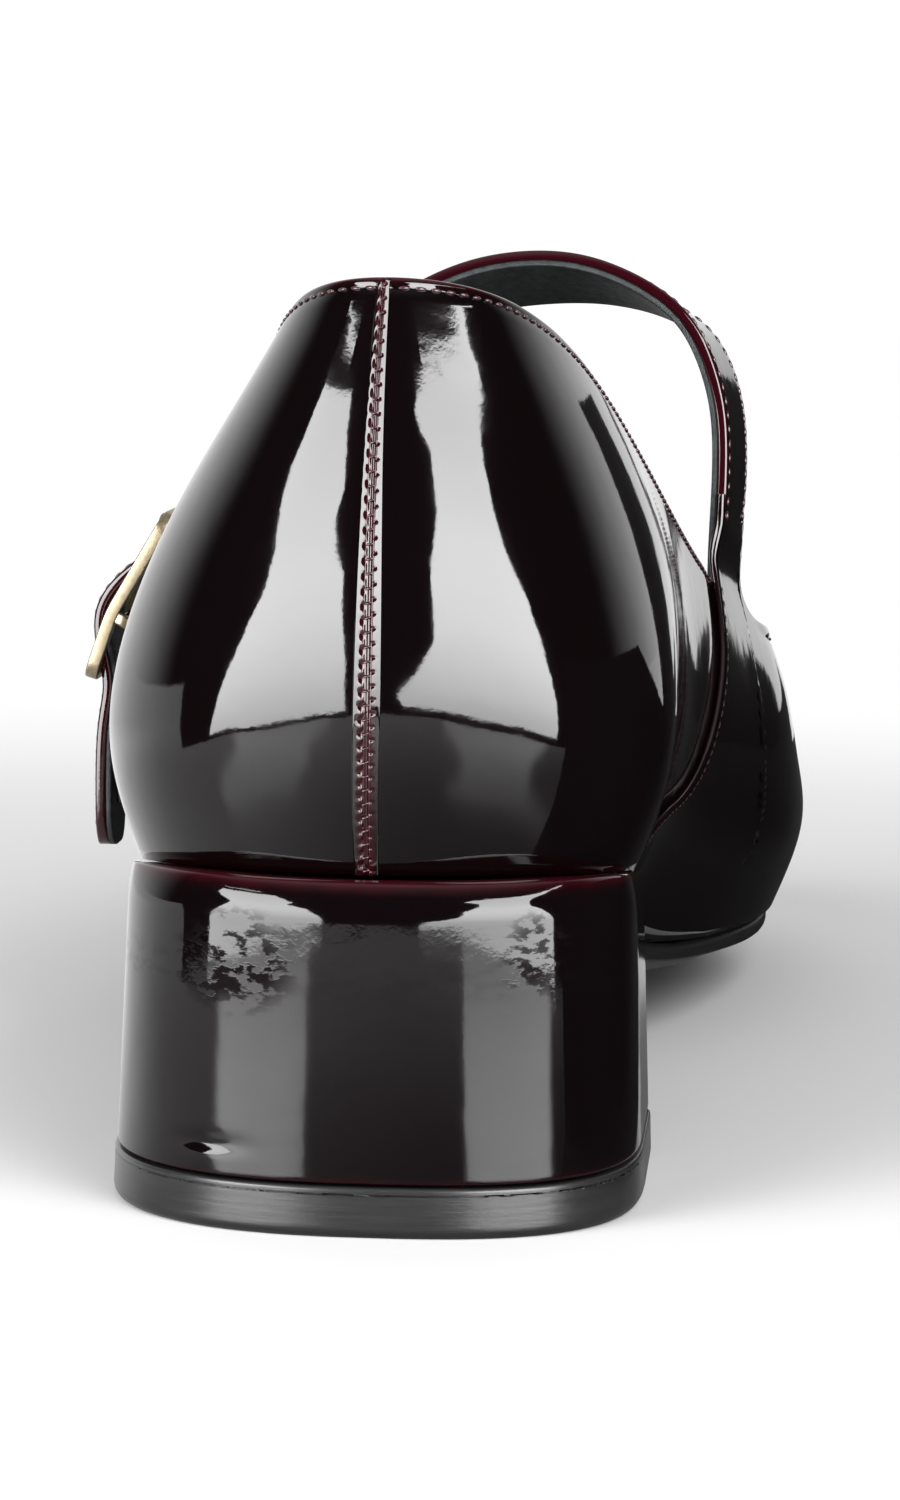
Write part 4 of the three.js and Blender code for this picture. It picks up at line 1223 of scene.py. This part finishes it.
# distance forward from the heel's back, height
FLAG_TOPS = [[-0.002, 0.061], [0.085, 0.061], [0.125, 0.046], [0.17, 0.036], [0.24, 0.03], [0.5, 0.03]]
STRAP_SHADE = [[0.1, 0.05], [0.118, 0.1], [0.2, 0.1], [0.215, 0.05]]
FLAG_NEAR, FLAG_FAR, FLAG_FOOT = 0.036, 0.082, 0.0004
SHADE_AT, SHADE_FOOT = 0.062, 0.03
# each flag row lies on the floor from FLAG_NEAR to FLAG_FAR as painted shade between the two shoes, then
# stands up at FLAG_FAR as the other shoe's painted reflection
flag_rows = [[[FLAG_NEAR, y, FLAG_FOOT], [FLAG_FAR, y, FLAG_FOOT], [FLAG_FAR, y, top]]
             for y, top in FLAG_TOPS]
shade_heights = [(y, SHADE_FOOT, (top + SHADE_FOOT) / 2, top) for y, top in STRAP_SHADE]
dark_flag("flag", flag_rows)
dark_flag("strap_flag", [[[SHADE_AT, y, z] for z in heights] for y, *heights in shade_heights])
lamp("key_left", -45, 28, 0.9, 0.6, 8)
lamp("key_right", 40, 34, 0.9, 0.6, 8)

world = bpy.data.worlds.new("studio")
world.use_nodes = True
bpy.context.scene.world = world
wire = Wire(world.node_tree)
direction = wire.node("ShaderNodeTexCoord", out="Generated")
forward = wire.node("ShaderNodeSeparateXYZ", None, {0: direction}, 1)
height = wire.node("ShaderNodeSeparateXYZ", None, {0: direction}, 2)
sideways = wire.node("ShaderNodeSeparateXYZ", None, {0: direction}, 0)
to_left = wire.math("MAXIMUM", 0 - sideways)
white_wall = (forward + 0.33 * to_left).smooth(0.46, 1.02)
ceiling = 0.5 * height.smooth(0.55, 0.95)
seen = wire.node("ShaderNodeLightPath", out="Is Camera Ray")
dark_room = 0.012 + 1.0 * white_wall + ceiling
strength = seen * 1.05 + (1 - seen) * dark_room
background = world.node_tree.nodes["Background"]
background.inputs["Color"].default_value = (1, 1, 1, 1)
world.node_tree.links.new(strength.socket, background.inputs["Strength"])
bpy.context.scene.view_settings.view_transform = "Standard"

# %% [markdown]
# ## The camera
#
# It stands half a metre behind the heel, five centimetres to the inner side and ten above the floor,
# and looks down a little. A wide lens from close by would swell the heel, so the lens is long, and a
# slight roll turns the shoe to the angle it is wanted at.

# %% The camera
EYE = Vector(HERE) + Vector((0.0522, -0.5, 0.1059))
AIM = Vector((-0.0864, 1, -0.1129)).normalized()
ROLL = np.radians(0.8)
across = AIM.cross(Vector((0, 0, 1))).normalized()
over = across.cross(AIM)
right = across * np.cos(ROLL) + over * np.sin(ROLL)
upright = over * np.cos(ROLL) - across * np.sin(ROLL)
camera_data = bpy.data.cameras.new("camera")
camera_data.lens = 121.9
camera_data.sensor_width = 36
camera = bpy.data.objects.new("camera", camera_data)
camera.matrix_world = Matrix.Translation(EYE) @ Matrix((right, upright, -AIM)).transposed().to_4x4()
bpy.context.scene.collection.objects.link(camera)
bpy.context.scene.camera = camera
print("camera at", [round(value, 4) for value in EYE], "looks along", [round(value, 3) for value in AIM])

# %% [markdown]
# ## Joining the pieces to the frame
#
# Nothing on this shoe moves by a joint, so every piece rides on the one body. Each piece names the
# solids it stands for, and the frame then hides those solids. The finishes are grouped in a table
# that is read only to attach the pieces.

# %% Riding and replacing
worn_by = {
    "patent": [quarter, vamp, welt, strap, heel_cover, tab, *stitches],
    "sock": [lining, strap_lining, sock],
    "sole": [outsole],
    "heel_rubber": [heel_tip],
    "gold": [buckle, prong],
}
for slot, pieces in worn_by.items():
    for piece in pieces:
        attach(piece, "root")
stands_for = [(quarter, "upper"), (vamp, "upper"), (sock, "insole"), (outsole, "outsole"),
              (heel_cover, "heel_block"), (heel_tip, "top_piece"), (strap, "strap"),
              (buckle, "buckle_frame"), (prong, "buckle_prong"), (tab, "buckle_loop")]
for piece, node in stands_for:
    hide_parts(node)
